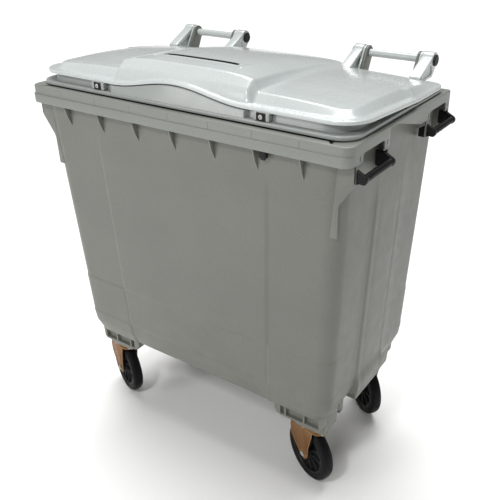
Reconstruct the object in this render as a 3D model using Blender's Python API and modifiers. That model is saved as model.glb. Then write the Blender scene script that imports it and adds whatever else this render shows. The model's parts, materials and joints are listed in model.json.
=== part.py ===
"""Four-wheeled wheelie bin (about 770 litres) with a main lid, a paper lid in it and swivel castors.

Metres, +Z up, the bin's front faces -Y, its base is on z = 0.
"""
import math

import bmesh
import bpy
from mathutils import Matrix, Vector

# ---------------------------------------------------------------- driving dimensions, from the middle of the rim
BODY_X, BODY_Y = -0.0149, -0.0285   # centre of the rim: it puts the whole bin's box on x = y = 0
GAP = 0.0003                # clearance between pieces that touch
WALL = 0.005                # moulded wall of the tub
RIM_X, RIM_Y = 0.600, 0.344         # half width and half depth of the rim
RIM_TOP, RIM_LEDGE, RIM_BASE = 1.317, 1.290, 1.262
RIM_R_FRONT, RIM_R_REAR = 0.032, 0.010
TUB_R = 0.052               # vertical corners of the tub
# outer wall of the tub: height, half width, half depth
TUB_SECTIONS = (
    (0.345, 0.510, 0.278),
    (0.352, 0.516, 0.284),
    (0.395, 0.531, 0.298),
    (0.440, 0.5345, 0.3005),
    (0.446, 0.5365, 0.3025),
    (0.594, 0.5415, 0.3040),
    (0.602, 0.5435, 0.3055),
    (0.930, 0.5580, 0.3110),
    (1.150, 0.5665, 0.3165),
    (1.200, 0.5685, 0.3180),
    (1.300, 0.5720, 0.3210),
)
PANEL_X = 0.335             # half width of the raised front panel
PANEL_OUT = 0.004
END_PANEL_Y = 0.100         # half width of the raised end panel
GUSSET_PITCH, GUSSET_TIP = 0.150, 1.187

HINGE_Y, HINGE_Z = 0.378, 1.394     # hinge line, both lids turn about it
ROD_R, BORE_R, TUBE_R = 0.005, 0.0055, 0.0125
BARREL_R = 0.026
UPPER_ARMS = ((0.234, 0.270), (0.484, 0.522))       # x of the paper lid's arms
LOWER_ARMS = ((0.2715, 0.2785), (0.4755, 0.4825))   # x of the main lid's arms
POSTS = ((0.2800, 0.2880), (0.4660, 0.4740))        # x of the tub's posts

LOWER_LID_X, LOWER_LID_Y, LOWER_LID_REAR = 0.588, 0.315, 0.318
LOWER_LID_Z = 1.3195
BEAD_TOP = 1.3310
LOWER_LID_R, LOWER_LID_R_REAR = 0.060, 0.045    # corner radii at the bead
SKIRT_R_GAIN = 0.034        # what the recessed skirt has more
POCKET, POCKET_REAR, POCKET_MIDDLE = 0.022, 0.010, 0.004    # how far the skirt is set in behind the bead
LID_WALL = 0.004
UPPER_LID_X, UPPER_LID_Y = 0.597, 0.305
UPPER_LID_R, UPPER_LID_R_REAR = 0.090, 0.050
LIP_Z, LIP_REAR_Z, LIP_DEPTH = 1.3645, 1.3400, 0.009
LIP_FALL, LIP_FALL_FROM = 0.057, -0.240     # the side lip falls this steeply behind this y
LIP_CLEARANCE = 0.0035
ARCH_X, ARCH_RISE = 0.250, 0.031    # the front lip arches up in the middle
STEP_LOW, STEP_HIGH = 0.055, 0.105  # between these y the side lip steps down and in
STEP_IN = 0.008
FLANGE, DOME_EDGE = 0.027, 0.024    # flat flange at the front and sides, then the rise of the side domes
DOME_Z, DOME_FALL, DOME_CURVE, DOME_CROWN = 1.3840, 0.034, 0.190, 0.010
BULGE_X, BULGE_TAPER, BULGE_FOOT_X = 0.243, 0.020, 0.262    # raised middle of the paper lid
BULGE_Z, BULGE_FALL, BULGE_CURVE = 1.4015, 0.090, 0.020
CROWN, CROWN_Y, CROWN_X = 0.030, -0.030, 0.250
CROWN_FRONT, CROWN_REAR = 0.300, 0.360
FACE_FOOT, FACE_INSET, SHOULDER_INSET = 0.011, 0.025, 0.055     # the bulge's front face, in from the lip
FACE_Z, FACE_SAG = 1.409, 0.160
SLOT_X, SLOT_Y, SLOT_WIDTH = 0.143, -0.175, 0.018
EDGE_INSETS = (0.0, FACE_FOOT, FACE_INSET, 0.040, SHOULDER_INSET, 0.072, UPPER_LID_R)

LOCK_X, LOCK_Z = 0.310, 1.3434
LOCK_HALF_X, LOCK_HALF_Z = 0.0155, 0.0111
LOCK_FRONT, LOCK_BACK = -0.3120, -0.2932
LOCK_BORE_R, LOCK_CORE_R = 0.0070, 0.0066
HANDLE_BAR = (0.617, 1.2255)        # x, z of the bar
HANDLE_Y = (-0.218, 0.245)          # middle of the front and rear handles
HANDLE_HALF, CHEEK, BAR_R = 0.087, 0.011, 0.0105
WING_Y, WEB_YS, STUB_Y = -0.3085, (-0.1165, 0.3360), 0.1530
LEG_SPANS = ((-0.3110, -0.2710), (-0.1450, -0.1140), (0.1505, 0.1750), (0.3050, 0.3385))
OPENING_SPANS = ((-0.271, -0.145), (0.175, 0.305))      # openings in the end skirts behind the handles
LEG_SLOT_YS = (-0.290, -0.129, 0.163, 0.322)
RIB = 0.0025                # half thickness of ribs and webs
DRAIN = (0.478, -0.125)
DRAIN_BORE_R = 0.018

SWIVEL_X, SWIVEL_Y = 0.452, 0.207
TRAIL, WHEEL_R, WHEEL_HALF = 0.033, 0.112, 0.021
PAD_BASE = 0.256
SKIRT_BASE, SKIRT_Y = 0.293, 0.272      # skirt in front of each castor pad
# castor name, x sign, y sign, heading of the trail in degrees
CASTORS = (
    ("front_right", 1, -1, 157.0),
    ("front_left", -1, -1, 157.0),
    ("rear_right", 1, 1, 143.0),
    ("rear_left", -1, 1, 150.0),
)


# ---------------------------------------------------------------- scene and materials
def clear_scene():
    for item in list(bpy.data.objects):
        bpy.data.objects.remove(item, do_unlink=True)


def make_collection(name):
    collection = bpy.data.collections.new(name)
    bpy.context.scene.collection.children.link(collection)
    return collection


def make_material(name, colour, roughness, metallic=0.0):
    material = bpy.data.materials.new(name)
    material.use_nodes = True
    shader = material.node_tree.nodes["Principled BSDF"]
    shader.inputs["Base Color"].default_value = (*colour, 1.0)
    shader.inputs["Roughness"].default_value = roughness
    shader.inputs["Metallic"].default_value = metallic
    return material


clear_scene()
BIN = make_collection("wheelie_bin")
CUTTERS = make_collection("cutters")
BODY_GREY = make_material("body_grey_hdpe", (0.27, 0.28, 0.26), 0.55)
LID_GREY = make_material("lid_grey_hdpe", (0.50, 0.52, 0.51), 0.30)
BLACK_PLASTIC = make_material("black_plastic", (0.012, 0.012, 0.013), 0.40)
RUBBER = make_material("black_rubber", (0.020, 0.020, 0.020), 0.75)
ZINC = make_material("yellow_chromated_steel", (0.36, 0.15, 0.05), 0.38, 0.9)
STEEL = make_material("bright_steel", (0.45, 0.45, 0.44), 0.35, 1.0)


# ---------------------------------------------------------------- modelling helpers
def make_empty(name, location, parent=None, turn=0.0):
    empty = bpy.data.objects.new(name, None)
    empty.location = location
    empty.rotation_euler = (0, 0, math.radians(turn))
    empty.parent = parent
    BIN.objects.link(empty)
    return empty


def place(mesh, name, parent, material):
    """A visible piece with its material, parented so that its coordinates are the parent's."""
    piece = bpy.data.objects.new(name, mesh)
    piece.parent = parent
    BIN.objects.link(piece)
    mesh.materials.clear()
    mesh.materials.append(material)
    return piece


def helper(mesh, name, parent):
    """An operand for a Boolean: never rendered."""
    piece = bpy.data.objects.new(name, mesh)
    piece.parent = parent
    piece.hide_render = True
    piece.display_type = "WIRE"
    CUTTERS.objects.link(piece)
    return piece


def mesh_from(build, name):
    mesh = bpy.data.meshes.new(name)
    bm = bmesh.new()
    build(bm)
    bmesh.ops.recalc_face_normals(bm, faces=bm.faces)
    bm.to_mesh(mesh)
    bm.free()
    return mesh


def box_mesh(name, low, high):
    low, high = Vector(low), Vector(high)

    def build(bm):
        scale = Matrix.Diagonal((*(high - low), 1))
        bmesh.ops.create_cube(bm, size=1, matrix=Matrix.Translation((low + high) / 2) @ scale)

    return mesh_from(build, name)


def rod_mesh(name, radius, start, end, segments=24):
    """A straight round bar from start to end."""
    start, end = Vector(start), Vector(end)
    turn = (end - start).to_track_quat("Z", "Y").to_matrix().to_4x4()

    def build(bm):
        bmesh.ops.create_cone(
            bm, cap_ends=True, segments=segments, radius1=radius, radius2=radius,
            depth=(end - start).length, matrix=Matrix.Translation((start + end) / 2) @ turn,
        )

    return mesh_from(build, name)


def plate_mesh(name, outline, axis, low, high):
    """A flat outline of (a, b) points, extruded along an axis from low to high.

    Along X the points are (y, z), along Y they are (x, z) and along Z they are (x, y).
    """
    curve = bpy.data.curves.new(name, "CURVE")
    curve.dimensions = "2D"
    curve.fill_mode = "BOTH"
    curve.extrude = (high - low) / 2
    spline = curve.splines.new("POLY")
    spline.points.add(len(outline) - 1)
    spline.use_cyclic_u = True
    for point, (a, b) in zip(spline.points, outline):
        point.co = (a, b, 0, 1)
    sketch = bpy.data.objects.new(name, curve)
    BIN.objects.link(sketch)
    graph = bpy.context.evaluated_depsgraph_get()
    mesh = bpy.data.meshes.new_from_object(sketch.evaluated_get(graph))
    bpy.data.objects.remove(sketch, do_unlink=True)
    axes = {
        "X": Matrix(((0, 0, 1, 0), (1, 0, 0, 0), (0, 1, 0, 0), (0, 0, 0, 1))),
        "Y": Matrix(((1, 0, 0, 0), (0, 0, -1, 0), (0, 1, 0, 0), (0, 0, 0, 1))),
        "Z": Matrix.Identity(4),
    }[axis]
    middle = (low + high) / 2
    shift = Matrix.Translation({"X": (middle, 0, 0), "Y": (0, middle, 0), "Z": (0, 0, middle)}[axis])
    bm = bmesh.new()
    bm.from_mesh(mesh)
    bmesh.ops.remove_doubles(bm, verts=bm.verts, dist=1e-6)
    bm.transform(shift @ axes)
    bmesh.ops.recalc_face_normals(bm, faces=bm.faces)
    bm.to_mesh(mesh)
    bm.free()
    return mesh


def boolean(piece, operation, *others):
    for other in others:
        modifier = piece.modifiers.new(operation.title(), "BOOLEAN")
        modifier.operation = operation
        modifier.object = other


def turned(name, profile, parent, material, segments=28):
    """A closed (radius, along) profile, outer side from top to bottom, turned about the parent's Y axis."""
    mesh = bpy.data.meshes.new(name)
    bm = bmesh.new()
    corners = [bm.verts.new((radius, 0, along)) for radius, along in profile]
    for first, second in zip(corners, corners[1:] + corners[:1]):
        bm.edges.new((first, second))
    bm.to_mesh(mesh)
    bm.free()
    piece = place(mesh, name, parent, material)
    piece.rotation_euler = (math.radians(90), 0, 0)
    screw = piece.modifiers.new("Screw", "SCREW")
    screw.steps = screw.render_steps = segments
    screw.merge_threshold = 0.0001
    screw.use_merge_vertices = True
    screw.use_smooth_shade = False
    return piece


def arc(centre, radius, start, end, steps):
    """Points on an arc, angles in degrees."""
    turn = [math.radians(start + (end - start) * i / steps) for i in range(steps + 1)]
    return [(centre[0] + radius * math.cos(a), centre[1] + radius * math.sin(a)) for a in turn]


def between(table, value):
    """Straight-line interpolation in rows of (value, result)."""
    for (v0, r0), (v1, r1) in zip(table, table[1:]):
        if value <= v1:
            return r0 + (r1 - r0) * max((value - v0) / (v1 - v0), 0.0)
    return table[-1][1]


def smooth(value, low, high):
    part = min(max((value - low) / (high - low), 0.0), 1.0)
    return part * part * (3 - 2 * part)


def plan_path(half_x, half_y, rear_y, r_front, r_rear, front_xs, end_ys, rear_xs, steps=5):
    """A rounded rectangle seen from above, with extra points at the given stations."""
    path = [(x, -half_y) for x in front_xs]
    path += arc((half_x - r_front, -half_y + r_front), r_front, -90, 0, steps)
    path += [(half_x, y) for y in end_ys]
    path += arc((half_x - r_rear, rear_y - r_rear), r_rear, 0, 90, steps)
    path += [(x, rear_y) for x in reversed(rear_xs)]
    path += arc((-half_x + r_rear, rear_y - r_rear), r_rear, 90, 180, steps)
    path += [(-half_x, y) for y in reversed(end_ys)]
    path += arc((-half_x + r_front, -half_y + r_front), r_front, 180, 270, steps)
    return path


def loft_mesh(name, rings, cap_first=False, join_last=False):
    """Bridges rings of points. cap_first closes the first ring, join_last joins the last to the first."""
    def build(bm):
        loops = [[bm.verts.new(point) for point in ring] for ring in rings]
        pairs = list(zip(loops, loops[1:])) + ([(loops[-1], loops[0])] if join_last else [])
        for lower, upper in pairs:
            count = len(lower)
            for i in range(count):
                j = (i + 1) % count
                bm.faces.new((lower[i], lower[j], upper[j], upper[i]))
        if cap_first:
            bm.faces.new(loops[0][::-1])

    return mesh_from(build, name)


# ---------------------------------------------------------------- tub
def tub_half(z):
    """Outer half width and half depth of the tub's wall at a height."""
    for (z0, x0, y0), (z1, x1, y1) in zip(TUB_SECTIONS, TUB_SECTIONS[1:]):
        if z <= z1:
            part = (z - z0) / (z1 - z0)
            return x0 + (x1 - x0) * part, y0 + (y1 - y0) * part
    return TUB_SECTIONS[-1][1:]


def tub_wall_x(y, z):
    """Outer x of the tub's wall at a y and height, also round the corner."""
    half_x, half_y = tub_half(z)
    into_corner = abs(y) - (half_y - TUB_R)
    if into_corner <= 0:
        return half_x
    return half_x - TUB_R + math.sqrt(max(TUB_R**2 - into_corner**2, 0))


def front_panel(z):
    return PANEL_OUT * (1 - smooth(z, 1.10, 1.19))


def end_panel(z):
    """How far the end panel stands out: it carries straight on where the wall tapers in."""
    return 0.004 * (1 - smooth(z, 1.05, 1.19)) + 0.022 * (1 - smooth(z, 0.345, 0.440))


def tub_ring(z, half_x, half_y, inset, r_front, r_rear, panels=True):
    front_xs = (-PANEL_X - 0.010, -PANEL_X + 0.010, PANEL_X - 0.010, PANEL_X + 0.010)
    end_ys = (-END_PANEL_Y - 0.008, -END_PANEL_Y + 0.008, END_PANEL_Y - 0.008, END_PANEL_Y + 0.008)
    path = plan_path(half_x - inset, half_y - inset, half_y - inset,
                     r_front, r_rear, front_xs, end_ys, front_xs)
    ring = []
    for x, y in path:
        if panels and abs(x) < PANEL_X - 0.005:
            y += math.copysign(front_panel(z), y)
        if panels and abs(y) < END_PANEL_Y - 0.005:
            x += math.copysign(end_panel(z), x)
        ring.append((x, y, z))
    return ring


def tub_shell(parent):
    """The inner side of the wall and the outer side of the rim as one open sheet, thickened behind."""
    rings = []
    for z, half_x, half_y in TUB_SECTIONS:
        radius = TUB_R - WALL
        rings.append(tub_ring(z + WALL, half_x, half_y, WALL, radius, radius))
    mouth_x, mouth_y = TUB_SECTIONS[-1][1:]
    rings[-1] = tub_ring(1.308, mouth_x, mouth_y, WALL, TUB_R - WALL, TUB_R - WALL, False)
    rim = (
        (RIM_TOP - 0.002, mouth_x, mouth_y, 0.003, TUB_R - 0.003, TUB_R - 0.003),
        (RIM_TOP, mouth_x, mouth_y, -0.001, TUB_R, TUB_R),
        (RIM_TOP, RIM_X, RIM_Y, 0.003, RIM_R_FRONT - 0.003, RIM_R_REAR - 0.003),
        (RIM_TOP - 0.003, RIM_X, RIM_Y, 0, RIM_R_FRONT, RIM_R_REAR),
        (RIM_LEDGE, RIM_X, RIM_Y, 0, RIM_R_FRONT, RIM_R_REAR),
        (RIM_LEDGE - 0.003, RIM_X, RIM_Y, 0, RIM_R_FRONT, RIM_R_REAR),
        (RIM_BASE, RIM_X, RIM_Y, 0, RIM_R_FRONT, RIM_R_REAR),
    )
    for z, half_x, half_y, inset, r_front, r_rear in rim:
        ring = tub_ring(z, half_x, half_y, inset, r_front, r_rear, False)
        if z < RIM_LEDGE:
            ring = [(x, y - 0.003 if y < -RIM_Y + 0.012 else y, z) for x, y, z in ring]
        rings.append(ring)
    tub = place(loft_mesh("tub", rings, cap_first=True), "tub", parent, BODY_GREY)
    solidify = tub.modifiers.new("Wall", "SOLIDIFY")
    solidify.thickness = WALL
    solidify.offset = -1
    solidify.use_even_offset = True
    return tub


def rim_gussets(parent):
    """Triangular ribs under the front and rear rim."""
    gussets = []
    for side in (-1, 1):
        for i in range(-3, 4):
            x = i * GUSSET_PITCH
            if side > 0 and abs(abs(x) - 0.3) < 0.01:
                x = math.copysign(0.375, x)
            outline = []
            for z in (RIM_TOP - 0.004, 1.250, GUSSET_TIP):
                half_y = tub_half(z)[1] + (front_panel(z) if abs(x) < PANEL_X else 0)
                outline.append((side * (half_y - RIB), z))
            outline += [(side * (RIM_Y - 0.003), RIM_BASE + 0.001), (side * (RIM_Y - 0.003), RIM_TOP - 0.004)]
            gussets.append(helper(
                plate_mesh("gusset", outline, "X", x - RIB, x + RIB), "gusset", parent))
    return gussets


def web_mesh(side, y, profile):
    """A plate across the end of the bin at y, from within the wall out to (x, z) points."""
    inner = [(tub_wall_x(y, z) - RIB, z) for _, z in profile]
    outline = [(side * x, z) for x, z in list(profile) + inner[::-1]]
    return plate_mesh("web", outline, "Y", y - RIB, y + RIB)


def corner_boxes(parent):
    """Webs and flange legs that carry the side handles, at both ends."""
    outer = RIM_X - 0.0005
    top = RIM_TOP - 0.004
    wing = ((outer, top), (outer, 1.212), (0.5540, 1.140), (0.5520, 1.043))
    web = ((outer, top), (outer, 1.205), (0.5860, 1.180))
    stub = ((outer, top), (outer, 1.250), (0.5760, 1.236))
    walls = []
    for side in (-1, 1):
        for ys, profile in (((WING_Y,), wing), (WEB_YS, web), ((STUB_Y,), stub)):
            for y in ys:
                walls.append(helper(web_mesh(side, y, profile), "web", parent))
        for y0, y1 in LEG_SPANS:
            low, high = sorted((side * (outer - 0.0045), side * outer))
            walls.append(helper(
                box_mesh("leg", (low, y0, 1.2545), (high, y1, RIM_BASE + 0.006)), "leg", parent))
    return walls


def end_skirt_cuts(parent):
    """Openings in the end skirts behind the handles, the sloping notch and the slots in the legs."""
    cuts = []
    for side in (-1, 1):
        low, high = sorted((side * (RIM_X - 0.012), side * (RIM_X + 0.012)))
        for y0, y1 in OPENING_SPANS:
            cuts.append(helper(
                box_mesh("handle_opening", (low, y0, 1.240), (high, y1, 1.286)), "handle_opening", parent))
        notch = ((-0.1135, 1.245), (-0.1135, 1.3112), (-0.066, 1.3112), (0.105, 1.2640), (0.1500, 1.2640),
                 (0.1500, 1.245))
        cuts.append(helper(plate_mesh("notch", notch, "X", low, high), "notch", parent))
        for y in LEG_SLOT_YS:
            cuts.append(helper(
                box_mesh("leg_slot", (low, y - 0.002, 1.2690), (high, y + 0.002, 1.2830)),
                "leg_slot", parent))
    return cuts


def hinge_barrel(radius):
    return arc((HINGE_Y, HINGE_Z), radius, 150, -20, 10)


def hinge_posts(parent):
    """Plates that rise from the rear rim to the hinge line."""
    outline = [(0.3385, RIM_BASE + 0.002), (0.3385, RIM_TOP - 0.004), (0.3240, RIM_TOP - 0.002),
               (0.3240, 1.345)] + hinge_barrel(0.024) + [(0.3800, 1.345), (0.3560, 1.300), (0.3460, 1.264)]
    posts = []
    for side in (-1, 1):
        for x0, x1 in POSTS:
            low, high = sorted((side * x0, side * x1))
            posts.append(helper(plate_mesh("post", outline, "X", low, high), "post", parent))
    return posts


def castor_pads(parent):
    """Pads that reach down from the floor to the castor plates, each behind a pocketed skirt."""
    pads, pockets = [], []
    pad = ((0.372, 0.352), (0.376, 0.275), (0.390, PAD_BASE), (0.500, PAD_BASE), (0.504, 0.300),
           (0.506, 0.352))
    skirt = ((0.316, 0.354), (0.318, 0.316), (0.326, 0.300), (0.345, SKIRT_BASE), (0.496, SKIRT_BASE),
             (0.504, 0.302), (0.507, 0.354))
    for side in (-1, 1):
        for end in (-1, 1):
            for outline, front, back in ((pad, 0.246, 0.160), (skirt, SKIRT_Y, 0.240)):
                low, high = sorted((end * front, end * back))
                points = [(side * x, z) for x, z in outline]
                pads.append(helper(plate_mesh("pad", points, "Y", low, high), "pad", parent))
            for x0, x1 in ((0.342, 0.358), (0.365, 0.432), (0.439, 0.492)):
                low_x, high_x = sorted((side * x0, side * x1))
                low_y, high_y = sorted((end * (SKIRT_Y - 0.014), end * (SKIRT_Y + 0.010)))
                pockets.append(helper(
                    box_mesh("pocket", (low_x, low_y, 0.301), (high_x, high_y, 0.334)), "pocket", parent))
    return pads, pockets


def end_feet(parent):
    """The foot of each end panel, which hangs below the floor."""
    feet = []
    for side in (-1, 1):
        outline = [(side * 0.440, 0.350), (side * 0.440, 0.318), (side * 0.534, 0.315), (side * 0.5355, 0.352),
                   (side * 0.5000, 0.356)]
        feet.append(helper(plate_mesh("end_foot", outline, "Y", -0.088, 0.088), "end_foot", parent))
    return feet


def make_tub(parent):
    tub = tub_shell(parent)
    pads, pockets = castor_pads(parent)
    boolean(tub, "UNION", *rim_gussets(parent), *corner_boxes(parent), *hinge_posts(parent),
            *pads, *end_feet(parent))
    boolean(tub, "UNION", helper(
        rod_mesh("drain_boss", 0.026, (*DRAIN, 0.285), (*DRAIN, 0.349), 20), "drain_boss", parent))
    boolean(tub, "DIFFERENCE", *end_skirt_cuts(parent), *pockets)
    boolean(tub, "DIFFERENCE", helper(
        rod_mesh("drain_bore", DRAIN_BORE_R, (*DRAIN, 0.280), (*DRAIN, 0.362), 20), "drain_bore", parent))
    for side in (-1, 1):
        low, high = sorted((side * 0.27, side * 0.49))
        boolean(tub, "DIFFERENCE", helper(
            rod_mesh("post_bore", BORE_R, (low, HINGE_Y, HINGE_Z), (high, HINGE_Y, HINGE_Z), 16),
            "post_bore", parent))
    return tub


# ---------------------------------------------------------------- lids
def lip_top(x, y):
    """Top of the paper lid's edge: arched at the front, falling at the sides, stepped down at the rear."""
    z = LIP_Z - LIP_FALL * max(y - LIP_FALL_FROM, 0)
    z += (LIP_REAR_Z - z) * smooth(y, STEP_LOW, STEP_HIGH)
    if y < -0.2 and abs(x) < ARCH_X:
        z += ARCH_RISE * math.cos(math.pi * x / (2 * ARCH_X)) ** 2
    return z


def bulge_top(x, y):
    along = (y - CROWN_Y) / (CROWN_FRONT if y < CROWN_Y else CROWN_REAR)
    crown = CROWN * (1 - along ** 2) * (1 - (x / CROWN_X) ** 4)
    return BULGE_Z - BULGE_FALL * y - BULGE_CURVE * y * y + max(crown, 0)


def dome_z(x, y, inset):
    """Height of the side domes, which start behind a flat flange and near the rear straight at the edge."""
    edge = lip_top(x, y)
    top = DOME_Z - DOME_FALL * max(y + 0.10, 0) - DOME_CURVE * max(y + 0.05, 0) ** 2
    top += DOME_CROWN * max(1 - (max(abs(x) - CROWN_X, 0) / 0.28) ** 2, 0)
    foot = 0.004 + (FLANGE - 0.004) * (1 - smooth(y, STEP_LOW - 0.020, STEP_LOW + 0.025))
    return between(((foot, edge), (foot + DOME_EDGE, top)), inset)


def bulge_z(x, y, inset):
    """Height of the raised middle, with a two-step front face."""
    edge = lip_top(x, y)
    front = y + UPPER_LID_Y
    if front > SHOULDER_INSET:
        return edge + (bulge_top(x, y) - edge) * smooth(inset, 0.006, 0.050)
    shoulder = bulge_top(x, SHOULDER_INSET - UPPER_LID_Y)
    face = min(FACE_Z - FACE_SAG * x * x, shoulder)
    return between(((FACE_FOOT, edge), (FACE_INSET, face), (SHOULDER_INSET, shoulder)), front)


def paper_lid_z(x, y, inset):
    """Height of the paper lid's outer face, where inset is the distance in from its edge."""
    top_x = BULGE_X - BULGE_TAPER * (y + 0.25)
    share = between(((top_x, 1.0), (BULGE_FOOT_X, 0.0)), abs(x))
    side = dome_z(x, y, inset)
    return side + (bulge_z(x, y, inset) - side) * share


def round_corner(x, y, half_x, low_y, high_y):
    """Moves a grid point of a square corner onto a round one. Returns x, y and the inset from the edge."""
    middle_y, half_y = (low_y + high_y) / 2, (high_y - low_y) / 2
    radius = UPPER_LID_R if y < middle_y else UPPER_LID_R_REAR
    a = abs(x) - (half_x - radius)
    b = abs(y - middle_y) - (half_y - radius)
    inset = min(half_x - abs(x), half_y - abs(y - middle_y))
    if a > 0 and b > 0:
        reach = max(a, b)
        angle = math.pi / 4 * (b / a) if a >= b else math.pi / 2 - math.pi / 4 * (a / b)
        x = math.copysign(half_x - radius + reach * math.cos(angle), x)
        y = middle_y + math.copysign(half_y - radius + reach * math.sin(angle), y - middle_y)
    return x, y, inset


def lid_columns():
    middle = [0.0, 0.05, 0.10, 0.15, 0.20, 0.225, BULGE_X, 0.253, BULGE_FOOT_X, 0.275, 0.33, 0.40, 0.46]
    right = middle + [UPPER_LID_X - d for d in EDGE_INSETS[::-1]]
    return [-x for x in right[:0:-1]] + right


def lid_rows():
    front = [-UPPER_LID_Y + d for d in EDGE_INSETS]
    middle = [-0.19, -0.15, -0.09, -0.03, 0.02, STEP_LOW - 0.019, STEP_LOW, 0.080, STEP_HIGH, 0.15, 0.20]
    return front + middle + [LOWER_LID_REAR - d for d in EDGE_INSETS[::-1]]


def make_upper_lid(parent):
    """The paper lid: one curved sheet with a turned-down lip, four hinge arms and the slot."""
    columns = lid_columns()

    def build(bm):
        grid = []
        for y0 in lid_rows():
            line = []
            for x0 in columns:
                x, y, inset = round_corner(x0, y0, UPPER_LID_X, -UPPER_LID_Y, LOWER_LID_REAR)
                z = paper_lid_z(x, y, inset)
                near_side = 1 - smooth(UPPER_LID_X - abs(x0), FLANGE, 0.060)
                x -= math.copysign(STEP_IN * near_side * smooth(y, STEP_LOW, STEP_HIGH), x)
                line.append(bm.verts.new((x, y, z)))
            grid.append(line)
        for lower, upper in zip(grid, grid[1:]):
            for i in range(len(columns) - 1):
                bm.faces.new((lower[i], lower[i + 1], upper[i + 1], upper[i]))
        edge = grid[0] + [line[-1] for line in grid[1:]] + grid[-1][-2::-1]
        edge += [line[0] for line in grid[-2:0:-1]]
        lip = [bm.verts.new(v.co - Vector((0, 0, LIP_DEPTH))) for v in edge]
        for i in range(len(edge)):
            j = (i + 1) % len(edge)
            bm.faces.new((edge[j], edge[i], lip[i], lip[j]))

    lid = place(mesh_from(build, "upper_lid"), "upper_lid", parent, LID_GREY)
    if lid.data.polygons[0].normal.z < 0:
        lid.data.flip_normals()
    solidify = lid.modifiers.new("Wall", "SOLIDIFY")
    solidify.thickness = LID_WALL
    solidify.offset = -1
    solidify.use_even_offset = True
    return lid


def lid_arm_outline(radius):
    """Side view of a paper lid arm: a wedge from the lid's rear up to the hinge barrel."""
    return [(0.300, 1.3415), (0.262, 1.3510), (0.262, 1.3600)] + hinge_barrel(radius) + [(0.366, 1.3415)]


def add_upper_arms(lid, parent):
    for side in (-1, 1):
        for x0, x1 in UPPER_ARMS:
            low, high = sorted((side * x0, side * x1))
            boolean(lid, "UNION", helper(
                plate_mesh("upper_arm", lid_arm_outline(BARREL_R), "X", low, high), "upper_arm", parent))
            boolean(lid, "DIFFERENCE", helper(
                rod_mesh("upper_arm_bore", BORE_R, (low - 0.002, HINGE_Y, HINGE_Z),
                         (high + 0.002, HINGE_Y, HINGE_Z), 16), "upper_arm_bore", parent))


def lower_lid_section(x, y):
    """Cross section of the main lid's frame at a point of its outline, as (inset, z) points."""
    rear = smooth(y, STEP_LOW - 0.010, STEP_HIGH)
    skirt_top = lip_top(x, y) - LIP_DEPTH - LIP_CLEARANCE
    bead = BEAD_TOP - 0.003 * rear
    pocket = POCKET + (POCKET_REAR - POCKET) * rear
    if y < -0.2:
        pocket = POCKET_MIDDLE + (pocket - POCKET_MIDDLE) * smooth(abs(x), ARCH_X + 0.002, ARCH_X + 0.010)
    return (
        (0.0, LOWER_LID_Z), (0.0, bead), (pocket, min(bead + 0.0010, skirt_top - 0.0008)),
        (pocket + 0.0010, skirt_top), (0.060, skirt_top), (0.060, skirt_top - LID_WALL),
        (pocket + 0.0060, skirt_top - LID_WALL), (pocket + 0.0050, bead - 0.0045), (0.0042, bead - 0.0045),
        (0.0040, LOWER_LID_Z),
    )


def make_lower_lid(parent):
    """The main lid: a frame round a large mouth that the paper lid covers."""
    front = [0.0, 0.05, 0.10, 0.15, 0.20, 0.235, 0.250, 0.254, 0.260, 0.40]
    front_xs = [-x for x in front[:0:-1]] + front
    end_ys = (-0.1, 0.0, STEP_LOW - 0.010, 0.067, 0.080, 0.093, STEP_HIGH)

    def path_at(inset):
        gain = SKIRT_R_GAIN * smooth(inset, 0.0028, 0.0038) - inset
        return plan_path(
            LOWER_LID_X - inset, LOWER_LID_Y - inset, LOWER_LID_REAR - inset,
            LOWER_LID_R + gain, LOWER_LID_R_REAR + gain,
            front_xs, end_ys, front_xs)

    outline = path_at(0.0)
    sections = [lower_lid_section(x, y) for x, y in outline]
    rings = []
    for k in range(len(sections[0])):
        ring = []
        for i, section in enumerate(sections):
            inset, z = section[k]
            x, y = path_at(inset)[i]
            ring.append((x, y, z))
        rings.append(ring)
    lid = place(loft_mesh("lower_lid", rings, join_last=True), "lower_lid", parent, LID_GREY)
    arm = [(0.290, LOWER_LID_Z + 0.004), (0.290, 1.3280), (0.3190, 1.3295), (0.3215, 1.350)]
    arm += hinge_barrel(0.024) + [(0.372, 1.345), (0.345, LOWER_LID_Z + 0.004)]
    for side in (-1, 1):
        for x0, x1 in LOWER_ARMS:
            low, high = sorted((side * x0, side * x1))
            boolean(lid, "UNION", helper(plate_mesh("lower_arm", arm, "X", low, high), "lower_arm", parent))
            boolean(lid, "DIFFERENCE", helper(
                rod_mesh("lower_arm_bore", BORE_R, (low - 0.002, HINGE_Y, HINGE_Z),
                         (high + 0.002, HINGE_Y, HINGE_Z), 16), "lower_arm_bore", parent))
    return lid


def lid_buffers(parent):
    """Rubber buffers under the main lid that meet the rim."""
    corners = (("front_left", -1, -1), ("front_right", 1, -1), ("rear_left", -1, 1), ("rear_right", 1, 1))
    for name, x, y in corners:
        centre = (x * 0.5790, y * 0.10)
        top = BEAD_TOP - 0.0048 - (0.003 if y > 0 else 0)
        place(rod_mesh("buffer", 0.0045, (*centre, RIM_TOP + GAP), (*centre, top), 14),
              "lid_buffer_" + name, parent, RUBBER)


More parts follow.
